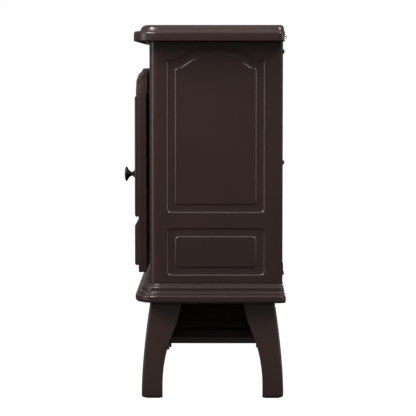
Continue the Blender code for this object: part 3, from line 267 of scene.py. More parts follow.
def bark():
    """Painted resin bark: fissures, charred patches and pale ash on the ridges."""
    made = Finish("charred_bark", (0.09, 0.05, 0.03), 0.85)
    fissure = made.cells(95.0, vector=made.stretched((0.22, 1.0, 1.0)), feature="DISTANCE_TO_EDGE")
    tone = made.noise(60.0, 5.0, vector=made.stretched((0.35, 1.0, 1.0)))
    wood = made.mixed(made.spread(tone, 0.35, 0.68), (0.030, 0.016, 0.010), (0.155, 0.085, 0.048))
    char = made.spread(made.noise(16.0, 4.0), 0.46, 0.56)
    burnt = made.mixed(char, wood, (0.0095, 0.0080, 0.0075))
    ash = made.math("MULTIPLY", made.spread(made.noise(230.0, 4.0), 0.55, 0.68), char)
    pale = made.mixed(made.math("MULTIPLY", ash, 0.8), burnt, (0.23, 0.21, 0.20))
    made.colour(made.mixed(made.spread(fissure, 0.0, 0.08), (0.006, 0.005, 0.004), pale))
    made.rough(tone, 0.75, 0.95)
    made.bump(made.spread(fissure, 0.0, 0.16), 0.0007)
    made.bump(made.noise(600.0, 4.0), 0.00025)
    return made.material


def cut_wood():
    """The sawn end of a log: growth rings, radial checks, a scorched rim."""
    made = Finish("sawn_log_end", (0.24, 0.15, 0.08), 0.8)
    made.place = made.add("ShaderNodeTexCoord").outputs["UV"]
    ring = made.add("ShaderNodeTexWave", wave_type="RINGS", rings_direction="SPHERICAL")
    ring.inputs["Scale"].default_value = 3.2
    ring.inputs["Distortion"].default_value = 1.6
    ring.inputs["Detail"].default_value = 3.0
    made.link(made.place, ring.inputs["Vector"])
    grain = made.mixed(ring.outputs["Fac"], (0.13, 0.072, 0.036), (0.30, 0.19, 0.105))
    rim = made.add("ShaderNodeVectorMath", operation="LENGTH")
    made.link(made.place, rim.inputs[0])
    edge = made.spread(rim.outputs["Value"], 0.62, 0.98)
    made.colour(made.mixed(edge, grain, (0.016, 0.012, 0.010)))
    made.bump(ring.outputs["Fac"], 0.00025)
    made.bump(made.noise(24.0, 4.0), 0.00030)
    return made.material


def board():
    """A circuit board: solder mask over a pattern of tracks."""
    made = Finish("circuit_board", (0.010, 0.075, 0.030), 0.35)
    track = made.spread(made.cells(190.0, feature="DISTANCE_TO_EDGE"), 0.05, 0.09)
    made.colour(made.mixed(track, (0.020, 0.140, 0.055), (0.008, 0.060, 0.024)))
    made.rough(made.noise(300.0, 2.0), 0.28, 0.42)
    made.bump(track, 0.00004)
    return made.material


def rubber():
    """Matt moulded rubber with dust in it."""
    made = Finish("moulded_rubber", (0.014, 0.014, 0.014), 0.78, Specular_IOR_Level=0.3)
    dust = made.spread(made.noise(160.0, 4.0), 0.5, 0.75)
    made.colour(made.mixed(made.math("MULTIPLY", dust, 0.5), (0.012, 0.012, 0.012), (0.055, 0.052, 0.048)))
    made.rough(dust, 0.72, 0.9, 0.0, 1.0)
    made.bump(made.noise(900.0, 3.0), 0.00005)
    return made.material


def white_print():
    """Pad-printed marks, slightly uneven."""
    made = Finish("white_print", (0.62, 0.62, 0.60), 0.6)
    made.colour(made.mixed(made.noise(900.0, 3.0), (0.50, 0.50, 0.48), (0.70, 0.70, 0.68)))
    made.bump(made.noise(1200.0, 2.0), 0.00001)
    return made.material


def ceramic():
    """Heat-stained steatite."""
    made = Finish("steatite", (0.30, 0.27, 0.23), 0.6)
    stain = made.spread(made.noise(240.0, 4.0), 0.35, 0.7)
    made.colour(made.mixed(stain, (0.34, 0.31, 0.27), (0.11, 0.09, 0.08)))
    made.bump(made.noise(900.0, 3.0), 0.00004)
    return made.material


CERAMIC = ceramic()
FINISHES = {
    "bronze_coat": bronze_coat(),
    "black_gloss": moulded("rocker_gloss", (0.008, 0.007, 0.007), 0.22, 400.0, 0.000008),
    "black_steel": black_steel(),
    "bright_steel": bright_steel(),
    "black_plastic": moulded("moulded_black", (0.013, 0.013, 0.013), 0.48),
    "grey_plastic": moulded("moulded_grey", (0.16, 0.16, 0.16), 0.5),
    "rubber": rubber(),
    "door_glass": window_glass(),
    "quartz": quartz(),
    "flame_screen": flame_screen(),
    "ember": ember(),
    "bark": bark(),
    "board": board(),
    "knob_metal": enamel(),
}
CUT_WOOD = cut_wood()
WHITE_PRINT = white_print()

# ------------ mesh helpers


def face_outward(work):
    bmesh.ops.recalc_face_normals(work, faces=work.faces)
    if work.calc_volume(signed=True) < 0:
        bmesh.ops.reverse_faces(work, faces=work.faces)


def finished(work, name, replaced=(), smooth=32.0, slot="bronze_coat", body="stove", materials=None):
    """Turns a bmesh into a piece of the stove: shaded, coated, riding on a body."""
    shape = bpy.data.meshes.new(name)
    work.to_mesh(shape)
    work.free()
    obj = bpy.data.objects.new(name, shape)
    bpy.context.scene.collection.objects.link(obj)
    for made in materials or [FINISHES[slot]]:
        shape.materials.append(made)
    shape.shade_smooth()
    shape.set_sharp_from_angle(angle=math.radians(smooth))
    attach(obj, body)
    if replaced:
        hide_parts(*replaced)
    return obj


def turns(count):
    """The (cosine, sine) of each of a number of equal steps round a circle."""
    angles = [2 * math.pi * i / count for i in range(count)]
    return [(math.cos(angle), math.sin(angle)) for angle in angles]


def join_rows(work, rows):
    """Faces from each row of verts to the next. A row is a closed ring or a single vert."""
    faces = []
    for low, high in zip(rows, rows[1:]):
        count = max(len(low), len(high))
        for i in range(count):
            j = (i + 1) % count
            if len(low) == 1:
                corners = (low[0], high[j], high[i])
            elif len(high) == 1:
                corners = (low[i], low[j], high[0])
            else:
                corners = (low[i], low[j], high[j], high[i])
            faces.append(work.faces.new(corners))
    return faces


def rings_skin(work, rings, close_low=False, close_high=False):
    """Joins closed rings of points, each to the next; closes the ends if asked."""
    loops = [[work.verts.new(point) for point in ring] for ring in rings]
    join_rows(work, loops)
    if close_low:
        work.faces.new(loops[0])
    if close_high:
        work.faces.new(loops[-1])
    return loops


def filled(work, loops):
    """Fills between the first loop of verts and the others, which lie inside it, in one plane."""
    edges = []
    for loop in loops:
        for i in range(len(loop)):
            pair = (loop[i], loop[(i + 1) % len(loop)])
            edges.append(work.edges.get(pair) or work.edges.new(pair))
    bmesh.ops.triangle_fill(work, use_beauty=True, edges=edges)


def wall(work, outline, low, high):
    """An upright wall along an open outline of (x, y)."""
    columns = [(work.verts.new((x, y, low)), work.verts.new((x, y, high))) for x, y in outline]
    for (a, b), (c, d) in zip(columns, columns[1:]):
        work.faces.new((a, c, d, b))


def backed(obj, thickness):
    """Gives an outer skin its sheet thickness, inward, with crisp cut edges."""
    step = obj.modifiers.new("sheet", "SOLIDIFY")
    step.thickness = thickness
    step.offset = -1.0
    step.use_even_offset = True
    bpy.context.view_layer.update()
    solid = bpy.data.meshes.new_from_object(obj.evaluated_get(bpy.context.evaluated_depsgraph_get()))
    obj.modifiers.clear()
    obj.data = solid
    solid.name = obj.name
    solid.shade_smooth()
    solid.set_sharp_from_angle(angle=math.radians(40.0))
    return obj


def softened(obj, width):
    """Rounds the sharp edges of a piece kept from the CAD."""
    step = obj.modifiers.new("edges", "BEVEL")
    step.width = width
    step.segments = 2
    step.limit_method = "ANGLE"
    step.angle_limit = math.radians(30.0)
    step.harden_normals = True


def arc(centre, radius, start, end, count):
    """Points round a circle, from a start to an end in degrees."""
    return [
        (
            centre[0] + radius * math.cos(math.radians(start + (end - start) * i / count)),
            centre[1] + radius * math.sin(math.radians(start + (end - start) * i / count)),
        )
        for i in range(count + 1)
    ]


def rounded_rectangle(u0, u1, v0, v1, low_radius, high_radius=None, count=8):
    """An outline whose low and high corners each have a radius; one radius does for both."""
    if high_radius is None:
        high_radius = low_radius
    return (
        arc((u1 - low_radius, v0 + low_radius), low_radius, -90, 0, count)
        + arc((u1 - high_radius, v1 - high_radius), high_radius, 0, 90, count)
        + arc((u0 + high_radius, v1 - high_radius), high_radius, 90, 180, count)
        + arc((u0 + low_radius, v0 + low_radius), low_radius, 180, 270, count)
    )


def arched(middle, half, bottom, shoulder, peak, flat, rise, ogee, corner, tip, ease=1.0):
    """A panel outline: level shoulders, an ogee rise and a shallow arch.

    flat is a shoulder's length, rise the share of the height and ogee the share of the half
    width that the ogee takes, corner and tip the radii at the bottom and at the shoulders.
    """
    count = 16
    foot = half - flat
    crown = foot - ogee * half
    spring = shoulder + rise * (peak - shoulder)
    right = []
    for i in range(count + 1):
        t = i / count
        eased = (1 - ease) * t + ease * t * t * (3 - 2 * t)
        right.append((foot - (foot - crown) * t, shoulder + (spring - shoulder) * eased))
    for i in range(1, 2 * count + 1):
        share = 1 - i / (2 * count)
        right.append((crown * share, peak - (peak - spring) * share * share))
    left = [(-u, v) for u, v in reversed(right[:-1])]
    foot_right = arc((half - corner, bottom + corner), corner, -90, 0, 8)
    foot_left = arc((-half + corner, bottom + corner), corner, 180, 270, 8)
    top_right = arc((half - tip, shoulder - tip), tip, 0, 90, 6)
    top_left = arc((-half + tip, shoulder - tip), tip, 90, 180, 6)
    points = foot_right + top_right + right + left + top_left + foot_left
    return [(middle + u, v) for u, v in points]


def filleted(points, radii, count=5):
    """A path whose corners are rounded, each by its own radius."""
    path = [points[0]]
    for before, corner, after, radius in zip(points, points[1:], points[2:], radii):
        corner, before, after = Vector(corner), Vector(before), Vector(after)
        into, out = (before - corner).normalized(), (after - corner).normalized()
        half_angle = into.angle(out) / 2
        reach = min(radius / math.tan(half_angle), (before - corner).length * 0.49,
                    (after - corner).length * 0.49)
        for i in range(count + 1):
            t = i / count
            start, end = corner + into * reach, corner + out * reach
            path.append(tuple((start * (1 - t) + corner * t) * (1 - t) + (corner * (1 - t) + end * t) * t))
    path.append(points[-1])
    return path


def lathe(work, profile, centre, axis, sides=64):
    """Turns a profile of (radius, along) about an X or Y axis through a point."""
    turn = {"X": Matrix.Rotation(math.radians(90), 4, "Y"),
            "Y": Matrix.Rotation(math.radians(-90), 4, "X")}[axis]
    place = Matrix.Translation(centre) @ turn
    rows = []
    for radius, along in profile:
        ring = turns(sides) if radius > 0 else [(0.0, 0.0)]
        rows.append([work.verts.new(place @ Vector((radius * c, radius * s, along))) for c, s in ring])
    join_rows(work, rows)


# ------------ lid and base

lid_low, lid_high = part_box("top_lid")
base_low, base_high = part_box("base_plinth")
cabinet_low, cabinet_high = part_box("right_side_panel")
LIFT = lid_high.z - 0.5940   # the legs raise the body this far over the heights given below
FRONT = cabinet_low.y
SIDE = cabinet_high.x
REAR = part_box("rear_panel")[1].y
SHEET = 0.0012
FRONT_RADIUS = 0.0430    # the mouldings' corners, seen from above
REAR_RADIUS = 0.0120


def rear_share(inset):
    """A moulding steps in less at the rear than at the front and sides."""
    return min(inset, 0.0012) + 0.05 * max(min(inset, 0.0118) - 0.0012, 0.0) + 0.45 * max(inset - 0.0118, 0.0)


def moulded_rings(path, low, high, rear_rule):
    """Rings round a box, one for each (inset, height) of a moulding's section."""
    rings = []
    for inset, height in path:
        back = rear_rule(inset)
        outline = rounded_rectangle(low.x + inset, high.x - inset, low.y + inset, high.y - back,
                                    max(FRONT_RADIUS - inset, 0.004), max(REAR_RADIUS - back, 0.003), 20)
        rings.append([(x, y, height) for x, y in outline])
    return rings


def make_lid():
    """The stepped top board, from under its lip up to its level top."""
    z0, z1 = lid_low.z, lid_high.z
    points = [(0.0030, z0 + 0.0004), (0.0016, z0), (0.0, z0 + 0.0012), (0.0, z1 - 0.0098),
              (0.0100, z1 - 0.0092), (0.0114, z1 - 0.0068), (0.0132, z1 - 0.0030), (0.0185, z1), (0.0600, z1)]
    path = filleted(points, (0.0010, 0.0016, 0.0052, 0.0012, 0.0030, 0.0044, 0.0054), 7)
    path.insert(-1, (0.0240, z1))
    work = bmesh.new()
    rings_skin(work, moulded_rings(path, lid_low, lid_high, rear_share), close_high=True)
    face_outward(work)
    backed(finished(work, "lid_pressing", ["top_lid"], smooth=40.0), SHEET)


def make_base():
    """The base's stepped rim, from its underside up and over into the tray."""
    z0, z1 = base_low.z, base_high.z
    points = [(0.0500, z0), (0.0030, z0), (0.0, z0 + 0.0030), (0.0, z0 + 0.0118), (0.0050, z0 + 0.0126),
              (0.0052, z0 + 0.0168), (0.0104, z0 + 0.0176), (0.0104, z0 + 0.0262), (0.0180, z0 + 0.0272),
              (0.0186, z0 + 0.0292), (0.0212, z1 - 0.0002), (0.0270, z1 - 0.0002), (0.0270, z0 + 0.0260)]
    radii = (0.0030, 0.0030, 0.0036, 0.0010, 0.0030, 0.0012, 0.0042, 0.0012, 0.0012, 0.0008, 0.0006)
    path = filleted(points, radii, 6)
    work = bmesh.new()
    rings_skin(work, moulded_rings(path, base_low, base_high, lambda inset: inset * 0.28))
    face_outward(work)
    backed(finished(work, "base_moulding", ["base_plinth"], smooth=40.0), SHEET)


make_lid()
make_base()


def make_base_floor():
    """The tray's floor, with the way through to the outlet."""
    work = bmesh.new()
    z = base_low.z
    outer = rounded_rectangle(base_low.x + 0.048, base_high.x - 0.048, base_low.y + 0.048,
                              base_high.y - 0.0128, 0.004, 0.003, 4)
    inner = rounded_rectangle(-0.205, 0.205, -0.020, 0.089, 0.003, 0.003, 4)
    rings_skin(work, [[(x, y, z) for x, y in outer], [(x, y, z) for x, y in inner],
                      [(x, y, z + SHEET) for x, y in inner], [(x, y, z + SHEET) for x, y in outer]])
    face_outward(work)
    finished(work, "base_floor")


make_base_floor()

# ------------ side panels

CORNER = 0.0130          # the front corner's radius
BACK_CORNER = 0.0016
JOIN = 0.0006            # the flat between a corner and the face
FIELD_MIDDLE = REAR - 0.1071
FIELD_HALF = 0.0784
FIELD_CORNER = 0.0062
GROOVE = 0.0150
GROOVE_DEPTH = 0.0013
GROOVE_WALL = 0.0020


def upper_field(inset):
    half = FIELD_HALF - inset
    return arched(FIELD_MIDDLE, half, LIFT + 0.2940 + inset, LIFT + 0.5390 - inset, LIFT + 0.5590 - inset,
                  max(0.0110 - 0.8 * inset, 0.0048), 0.82, 0.0300 / half, FIELD_CORNER - inset * 0.08,
                  0.0026 + inset * 0.04, 0.45)


def lower_field(inset):
    return rounded_rectangle(FIELD_MIDDLE - FIELD_HALF + inset, FIELD_MIDDLE + FIELD_HALF - inset,
                             LIFT + 0.1932 + inset, LIFT + 0.2700 - inset, FIELD_CORNER - inset * 0.08)


def trapezoid(share, ease=0.28):
    """A ramp from 0 to 1 with an even slope and eased ends."""
    slope = 1 / (1 - ease)
    if share < ease:
        return slope * share * share / (2 * ease)
    if share > 1 - ease:
        return 1 - slope * (1 - share) ** 2 / (2 * ease)
    return slope * (share - ease / 2)


def groove_rings():
    """(inset, depth) down one rounded wall of the groove, over its floor and up the other."""
    steps = 10
    down = [(GROOVE_WALL * i / steps, GROOVE_DEPTH * trapezoid(i / steps)) for i in range(steps + 1)]
    up = [(GROOVE - inset, depth) for inset, depth in reversed(down)]
    return [(-JOIN, 0.0)] + down + up + [(GROOVE + JOIN, 0.0)]


def make_side(name, side, replaced):
    """A side: two grooved fields in a flat face, a round front corner and a turned-in rear."""
    work = bmesh.new()
    z0, z1 = cabinet_low.z, cabinet_high.z
    rear = REAR - SHEET - 0.0004
    skirts = []
    for field in (upper_field, lower_field):
        rings = [[(SIDE - depth, y, z) for y, z in field(inset)] for inset, depth in groove_rings()]
        loops = rings_skin(work, rings)
        skirts.append(loops[0])
        work.faces.new(loops[-1])
    y0, y1 = FRONT + CORNER + JOIN, rear - BACK_CORNER
    frame_loop = [work.verts.new((SIDE, y, z)) for y, z in ((y0, z0), (y1, z0), (y1, z1), (y0, z1))]
    filled(work, [frame_loop] + skirts)
    bend = arc((SIDE - CORNER, FRONT + CORNER), CORNER, -90, 0, 18)
    wall(work, [(0.2625, FRONT), (SIDE - CORNER - 0.0004, FRONT)] + bend + [(SIDE, y0)], z0, z1)
    bend = arc((SIDE - BACK_CORNER, y1), BACK_CORNER, 0, 90, 4)
    wall(work, [(SIDE, y1)] + bend + [(0.2660, rear)], z0, z1)
    bmesh.ops.remove_doubles(work, verts=work.verts, dist=0.00002)
    bmesh.ops.recalc_face_normals(work, faces=work.faces)
    middle = max(work.faces, key=lambda face: face.calc_area())
    if middle.normal.x < 0:
        bmesh.ops.reverse_faces(work, faces=work.faces)
    if side < 0:
        bmesh.ops.scale(work, vec=(-1, 1, 1), verts=work.verts)
        bmesh.ops.reverse_faces(work, faces=work.faces)
    backed(finished(work, name, [replaced], smooth=50.0), SHEET)


make_side("right_side_pressing", 1, "right_side_panel")
make_side("left_side_pressing", -1, "left_side_panel")

# ------------ legs

LEG_CORNER = 0.0050
LEG_WALL = 0.0020
LEG_TOE = 0.0045
LEG_BOTTOM, LEG_TOP = (corner.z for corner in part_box("leg_front_right"))
LEG_SWEEP = 0.0135
LEG_WIDTHS = (
    # height, width from the foot's outermost reach
    (0.000, 0.0338), (0.034, 0.0342), (0.054, 0.0362), (0.074, 0.0400), (0.094, 0.0456),
    (0.112, 0.0530), (0.126, 0.0580), (0.138, 0.0612), (0.155, 0.0640),
)


def leg_outer(height):
    """How far in the outer edge is: it sweeps in upwards and is rounded at the toe."""
    share = max(0.0, (height - 0.010) / (LEG_TOP - 0.010))
    below = min(max(0.0, LEG_BOTTOM + LEG_TOE - height), LEG_TOE)
    return LEG_SWEEP * share ** 1.6 + LEG_TOE - math.sqrt(LEG_TOE ** 2 - below ** 2)


def leg_inner(height):
    """The inner edge, eased through the given widths."""
    rows = LEG_WIDTHS
    index = max(0, min(len(rows) - 2, sum(1 for row in rows if row[0] <= height) - 1))
    before, low, high = rows[max(index - 1, 0)], rows[index], rows[index + 1]
    after = rows[min(index + 2, len(rows) - 1)]
    span = high[0] - low[0]
    t = (height - low[0]) / span
    slope_low = (high[1] - before[1]) / max(high[0] - before[0], 1e-6) * span
    slope_high = (after[1] - low[1]) / max(after[0] - low[0], 1e-6) * span
    return ((2 * t ** 3 - 3 * t ** 2 + 1) * low[1] + (t ** 3 - 2 * t ** 2 + t) * slope_low
            + (3 * t ** 2 - 2 * t ** 3) * high[1] + (t ** 3 - t ** 2) * slope_high)


def leg_section(height):
    """The leg's outline at a height: an angle with rounded lips, open to the inside."""
    near, far = leg_outer(height), leg_inner(height)
    centre = (near + LEG_CORNER, near + LEG_CORNER)
    lip = LEG_WALL / 2
    return (
        arc((far - lip, near + lip), lip, 0, -90, 6)
        + arc(centre, LEG_CORNER, 270, 180, 10)
        + arc((near + lip, far - lip), lip, 180, 0, 8)
        + arc(centre, LEG_CORNER - LEG_WALL, 180, 270, 8)
        + arc((far - lip, near + lip), lip, 90, 0, 6)[:-1]
    )


def make_leg(name, side, end, replaced):
    """A leg at one side (1 right, -1 left) and one end (1 rear, -1 front)."""
    low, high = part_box(replaced)
    x_reach = high.x if side > 0 else low.x
    y_reach = low.y if end < 0 else high.y
    heights = [LEG_BOTTOM + LEG_TOE * (1 - math.cos(math.radians(90 * i / 8))) for i in range(9)]
    heights += [LEG_BOTTOM + LEG_TOE + (LEG_TOP - LEG_BOTTOM - LEG_TOE) * i / 40 for i in range(1, 41)]
    work = bmesh.new()
    rings = [[(x_reach - side * u, y_reach - end * w, height) for u, w in leg_section(height)]
             for height in heights]
    rings_skin(work, rings, close_low=True, close_high=True)
    face_outward(work)
    finished(work, name, [replaced], smooth=50.0)


for end, end_name in ((-1, "front"), (1, "rear")):
    for side, side_name in ((1, "right"), (-1, "left")):
        leg = "leg_" + end_name + "_" + side_name
        make_leg("cast_" + leg, side, end, leg)

# ------------ door

door_low, door_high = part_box("door_frame")
DOOR_HALF = door_high.x
DOOR_BOTTOM = door_low.z
DOOR_PEAK = door_high.z
DOOR_SHOULDER = DOOR_PEAK - 0.0380
FACING_FRONT = door_low.y
TRAY_FRONT = REAR - 0.2326
DOOR_REAR = door_high.y
FACING_INSET = 0.0065
FACING_EDGE = 0.0032     # the radius of the facings' rims
FACING_SHEET = 0.0010
WINDOW = (0.1830, LIFT + 0.3240, LIFT + 0.4320, LIFT + 0.4740)    # half width, bottom, shoulder, peak
DOOR_SHEET = 0.0014


def door_outline(inset, bottom=None, corner=0.0012):
    low = DOOR_BOTTOM + inset if bottom is None else bottom
    return arched(0.0, DOOR_HALF - inset, low, DOOR_SHOULDER - inset, DOOR_PEAK - inset, 0.0390, 0.70, 0.15,
                  corner, 0.0012)


def window_outline(inset):
    half, bottom, shoulder, peak = WINDOW
    return arched(0.0, half - inset, bottom + inset, shoulder - inset, peak - inset, 0.0300, 0.70, 0.15,
                  0.0012, 0.0012)


def flat_ring(outline, y):
    return [(x, y, z) for x, z in outline]


def rounded_step(start_inset, radius, front, count=6):
    """(inset, y) round an outward edge, from a side wall onto the front face."""
    return [(start_inset + radius * (1 - math.cos(math.radians(90 * i / count))),
             front + radius * (1 - math.sin(math.radians(90 * i / count)))) for i in range(count + 1)]


def make_door_tray():
    """The door's backing: a shallow pan whose middle is open behind the window."""
    work = bmesh.new()
    rings = [flat_ring(door_outline(0.0), DOOR_REAR)]
    rings += [flat_ring(door_outline(inset), y) for inset, y in rounded_step(0.0, 0.0016, TRAY_FRONT)]
    rings.append(flat_ring(door_outline(0.0040), TRAY_FRONT))
    rings.append(flat_ring(window_outline(-0.0135), TRAY_FRONT))
    rings_skin(work, rings)
    face_outward(work)
    backed(finished(work, "door_tray", ["door_frame"], smooth=45.0, body="door"), DOOR_SHEET)


def make_upper_facing():
    """The raised facing round the window, with a softened rim and a rolled window lip."""
    work = bmesh.new()
    bottom = LIFT + 0.2840
    rings = [flat_ring(door_outline(FACING_INSET, bottom), TRAY_FRONT + 0.0004)]
    for inset, y in rounded_step(0.0, FACING_EDGE, FACING_FRONT, 8):
        rings.append(flat_ring(door_outline(FACING_INSET + inset, bottom + inset, 0.0012 + inset * 0.3), y))
    rings.append(flat_ring(door_outline(FACING_INSET + 0.0050, bottom + 0.0050), FACING_FRONT))
    rings.append(flat_ring(window_outline(-0.0040), FACING_FRONT))
    for inset, y in reversed(rounded_step(0.0, 0.0024, FACING_FRONT)):
        rings.append(flat_ring(window_outline(-inset), y))
    rings.append(flat_ring(window_outline(0.0), FACING_FRONT + 0.0032))
    rings_skin(work, rings)
    face_outward(work)
    backed(finished(work, "door_upper_facing", smooth=45.0, body="door"), FACING_SHEET)


FACING_LOW = LIFT + 0.2050
FACING_TOP = LIFT + 0.2815
FACING_SLOPE = 0.0115


def lower_outline(inset, drop):
    half = DOOR_HALF - FACING_INSET - inset
    return rounded_rectangle(-half, half, FACING_LOW + inset, FACING_TOP - drop, 0.0012 + inset * 0.2)


def make_lower_facing():
    """The lower facing: its top edge slopes back into the groove; a pressed field on its face."""
    work = bmesh.new()
    rings = [flat_ring(lower_outline(0.0, 0.0), TRAY_FRONT + 0.0004)]
    for inset, y in rounded_step(0.0, FACING_EDGE, FACING_FRONT, 8):
        share = min(max((TRAY_FRONT - y) / (TRAY_FRONT - FACING_FRONT), 0.0), 1.0)
        rings.append(flat_ring(lower_outline(inset, FACING_SLOPE * share ** 0.9 + inset * 0.2), y))
    rings.append(flat_ring(lower_outline(0.0060, FACING_SLOPE + 0.0040), FACING_FRONT))
    wall, depth, steps = 0.0026, 0.0014, 6
    for start, sinking in ((0.0085, True), (0.0160, False)):
        for i in range(steps + 1):
            rounded = 0.5 - 0.5 * math.cos(math.pi * i / steps)
            sunk = rounded if sinking else 1 - rounded
            place = start + wall * i / steps
            rings.append(flat_ring(lower_outline(place, FACING_SLOPE + place), FACING_FRONT + depth * sunk))
    rings.append(flat_ring(lower_outline(0.0194, FACING_SLOPE + 0.0194), FACING_FRONT))
    rings_skin(work, rings, close_high=True)
    face_outward(work)
    backed(finished(work, "door_lower_facing", smooth=45.0, body="door"), FACING_SHEET)


make_door_tray()
make_upper_facing()
make_lower_facing()

knob_low, knob_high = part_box("door_knob")
KNOB_X = (knob_low.x + knob_high.x) / 2
KNOB_Z = (knob_low.z + knob_high.z) / 2


def make_door_knob():
    """A trumpet pull: domed face, thin rim, waisted neck and a collar."""
    front = knob_low.y
    radius = (knob_high.x - knob_low.x) / 2
    profile = [(0.0, front + 0.0002), (0.0040, front), (radius * 0.62, front + 0.0003),
               (radius * 0.86, front + 0.0011), (radius * 0.965, front + 0.0019), (radius, front + 0.0028),
               (radius * 0.985, front + 0.0036), (radius * 0.90, front + 0.0044)]
    for i in range(1, 13):
        t = i / 12
        profile.append((0.0034 + (radius * 0.88 - 0.0034) * (1 - t) ** 2.1, front + 0.0044 + 0.0080 * t))
    profile += [(0.0036, front + 0.0129), (0.0047, front + 0.0133), (0.0050, front + 0.0138),
                (0.0047, front + 0.0139), (0.0047, knob_high.y - 0.0070), (0.0018, knob_high.y - 0.0070),
                (0.0018, knob_high.y), (0.0, knob_high.y)]
    work = bmesh.new()
    lathe(work, profile, (KNOB_X, 0.0, KNOB_Z), "Y")
    face_outward(work)
    finished(work, "trumpet_pull", ["door_knob"], smooth=50.0, slot="knob_metal", body="door")


def make_rosette():
    """A turned washer under the pull, with a bead round its face."""
    low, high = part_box("knob_rosette")
    radius = (high.x - low.x) / 2
    back, face = high.y, low.y
    profile = [(0.0026, back), (radius, back), (radius, back - 0.0009), (radius * 0.94, back - 0.0012),
               (radius * 0.80, back - 0.0013), (radius * 0.76, back - 0.0016), (radius * 0.72, face + 0.0002),
               (radius * 0.66, face), (0.0026, face), (0.0026, back)]
    work = bmesh.new()
    lathe(work, profile, (KNOB_X, 0.0, KNOB_Z), "Y")
    face_outward(work)
    finished(work, "turned_rosette", ["knob_rosette"], smooth=50.0, slot="knob_metal", body="door")


make_door_knob()
make_rosette()

# ------------ fire: logs and embers


def make_log(name, replaced, seed):
    """A split log with fissured bark, knots and sawn, scorched ends."""
    low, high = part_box(replaced)
    middle = (low + high) / 2
    length = high.x - low.x
    radius_y, radius_z = (high.y - low.y) / 2 * 0.93, (high.z - low.z) / 2 * 0.93
    sides, steps = 64, 110
    work = bmesh.new()
    rings = []
    for step in range(steps + 1):
        along = step / steps
        x = middle.x - length * 0.492 + length * 0.984 * along
        ring = []
        for c, s in turns(sides):
            unit = Vector((0.0, c, s))
            spot = Vector((x * 9, unit.y * 2.2, unit.z * 2.2)) + Vector((seed, seed, 0))
            ridge = noise.noise(Vector((x * 14 + seed, unit.y * 5.0, unit.z * 5.0)))
            fine = noise.noise(Vector((x * 60, unit.y * 11, unit.z * 11 + seed)))
            crack = -abs(noise.noise(Vector((x * 7 + seed * 2, unit.y * 7, unit.z * 7))))
            swell = 1 + 0.07 * noise.noise(spot) + 0.035 * ridge + 0.014 * fine + 0.10 * crack
            chamfer = 1 - 0.05 * max(0.0, (abs(along - 0.5) - 0.485) / 0.015)
            bend = 0.0016 * math.sin(along * 5 + seed)
            ring.append((x, middle.y + bend + unit.y * radius_y * swell * chamfer * 0.96,
                         middle.z + unit.z * radius_z * swell * chamfer * 0.96))
        rings.append(ring)
    loops = rings_skin(work, rings)
    uv_layer = work.loops.layers.uv.new("end_grain")
    for loop, outward in ((loops[0], 1), (loops[-1], -1)):
        rows = [loop]
        centre = sum((vert.co for vert in loop), Vector()) / len(loop)
        for share in (0.75, 0.5, 0.25):
            rows.append([])
            for vert in loop:
                spot = centre + (vert.co - centre) * share
                spot.x += 0.0009 * noise.noise(spot * 300) * outward
                rows[-1].append(work.verts.new(spot))
        rows.append([work.verts.new(centre)])
        for face in join_rows(work, rows):
            face.material_index = 1
    for face in work.faces:
        for corner in face.loops:
            spot = corner.vert.co
            corner[uv_layer].uv = ((spot.y - middle.y) / radius_y, (spot.z - middle.z) / radius_z)
    face_outward(work)
    finished(work, name, [replaced], smooth=70.0, slot="bark", materials=[FINISHES["bark"], CUT_WOOD])


for log, log_seed in (("log_back", 1.7), ("log_left", 4.1), ("log_right", 7.9)):
    make_log("bark_" + log, log, log_seed)


def make_embers():
    """A bed of broken coals over the liner's floor."""
    low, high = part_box("ember_bed")
    columns, rows = 260, 60
    work = bmesh.new()
    grid = []
    for row in range(rows + 1):
        line = []
        for column in range(columns + 1):
            x = low.x + (high.x - low.x) * column / columns
            y = low.y + (high.y - low.y) * row / rows
            spot = Vector((x, y, 0.0))
            distance = noise.voronoi(spot * 85)[0]
            lump = max(0.0, 1 - distance[0] * 1.25) * min(1.0, (distance[1] - distance[0]) * 4.0)
            small = max(0.0, 1 - noise.voronoi(spot * 210)[0][0] * 1.6)
            edge = min(1.0, min(column, columns - column) / 12) * min(1.0, (min(row, rows - row) + 2) / 8)
            rise = 0.0036 + (0.0040 + 0.0062 * lump + 0.0018 * small) * edge
            line.append(work.verts.new((x, y, low.z + min(rise, (high.z - low.z) * 0.97))))
        grid.append(line)
    for row in range(rows):
        for column in range(columns):
            work.faces.new((grid[row][column], grid[row][column + 1], grid[row + 1][column + 1],
                            grid[row + 1][column]))
    rim = [edge for edge in work.edges if edge.is_boundary]
    lowered = bmesh.ops.extrude_edge_only(work, edges=rim)["geom"]
    for item in lowered:
        if isinstance(item, bmesh.types.BMVert):
            item.co.z = low.z
    bmesh.ops.recalc_face_normals(work, faces=work.faces)
    finished(work, "coal_bed", ["ember_bed"], smooth=60.0, slot="ember")


make_embers()

# ------------ screws


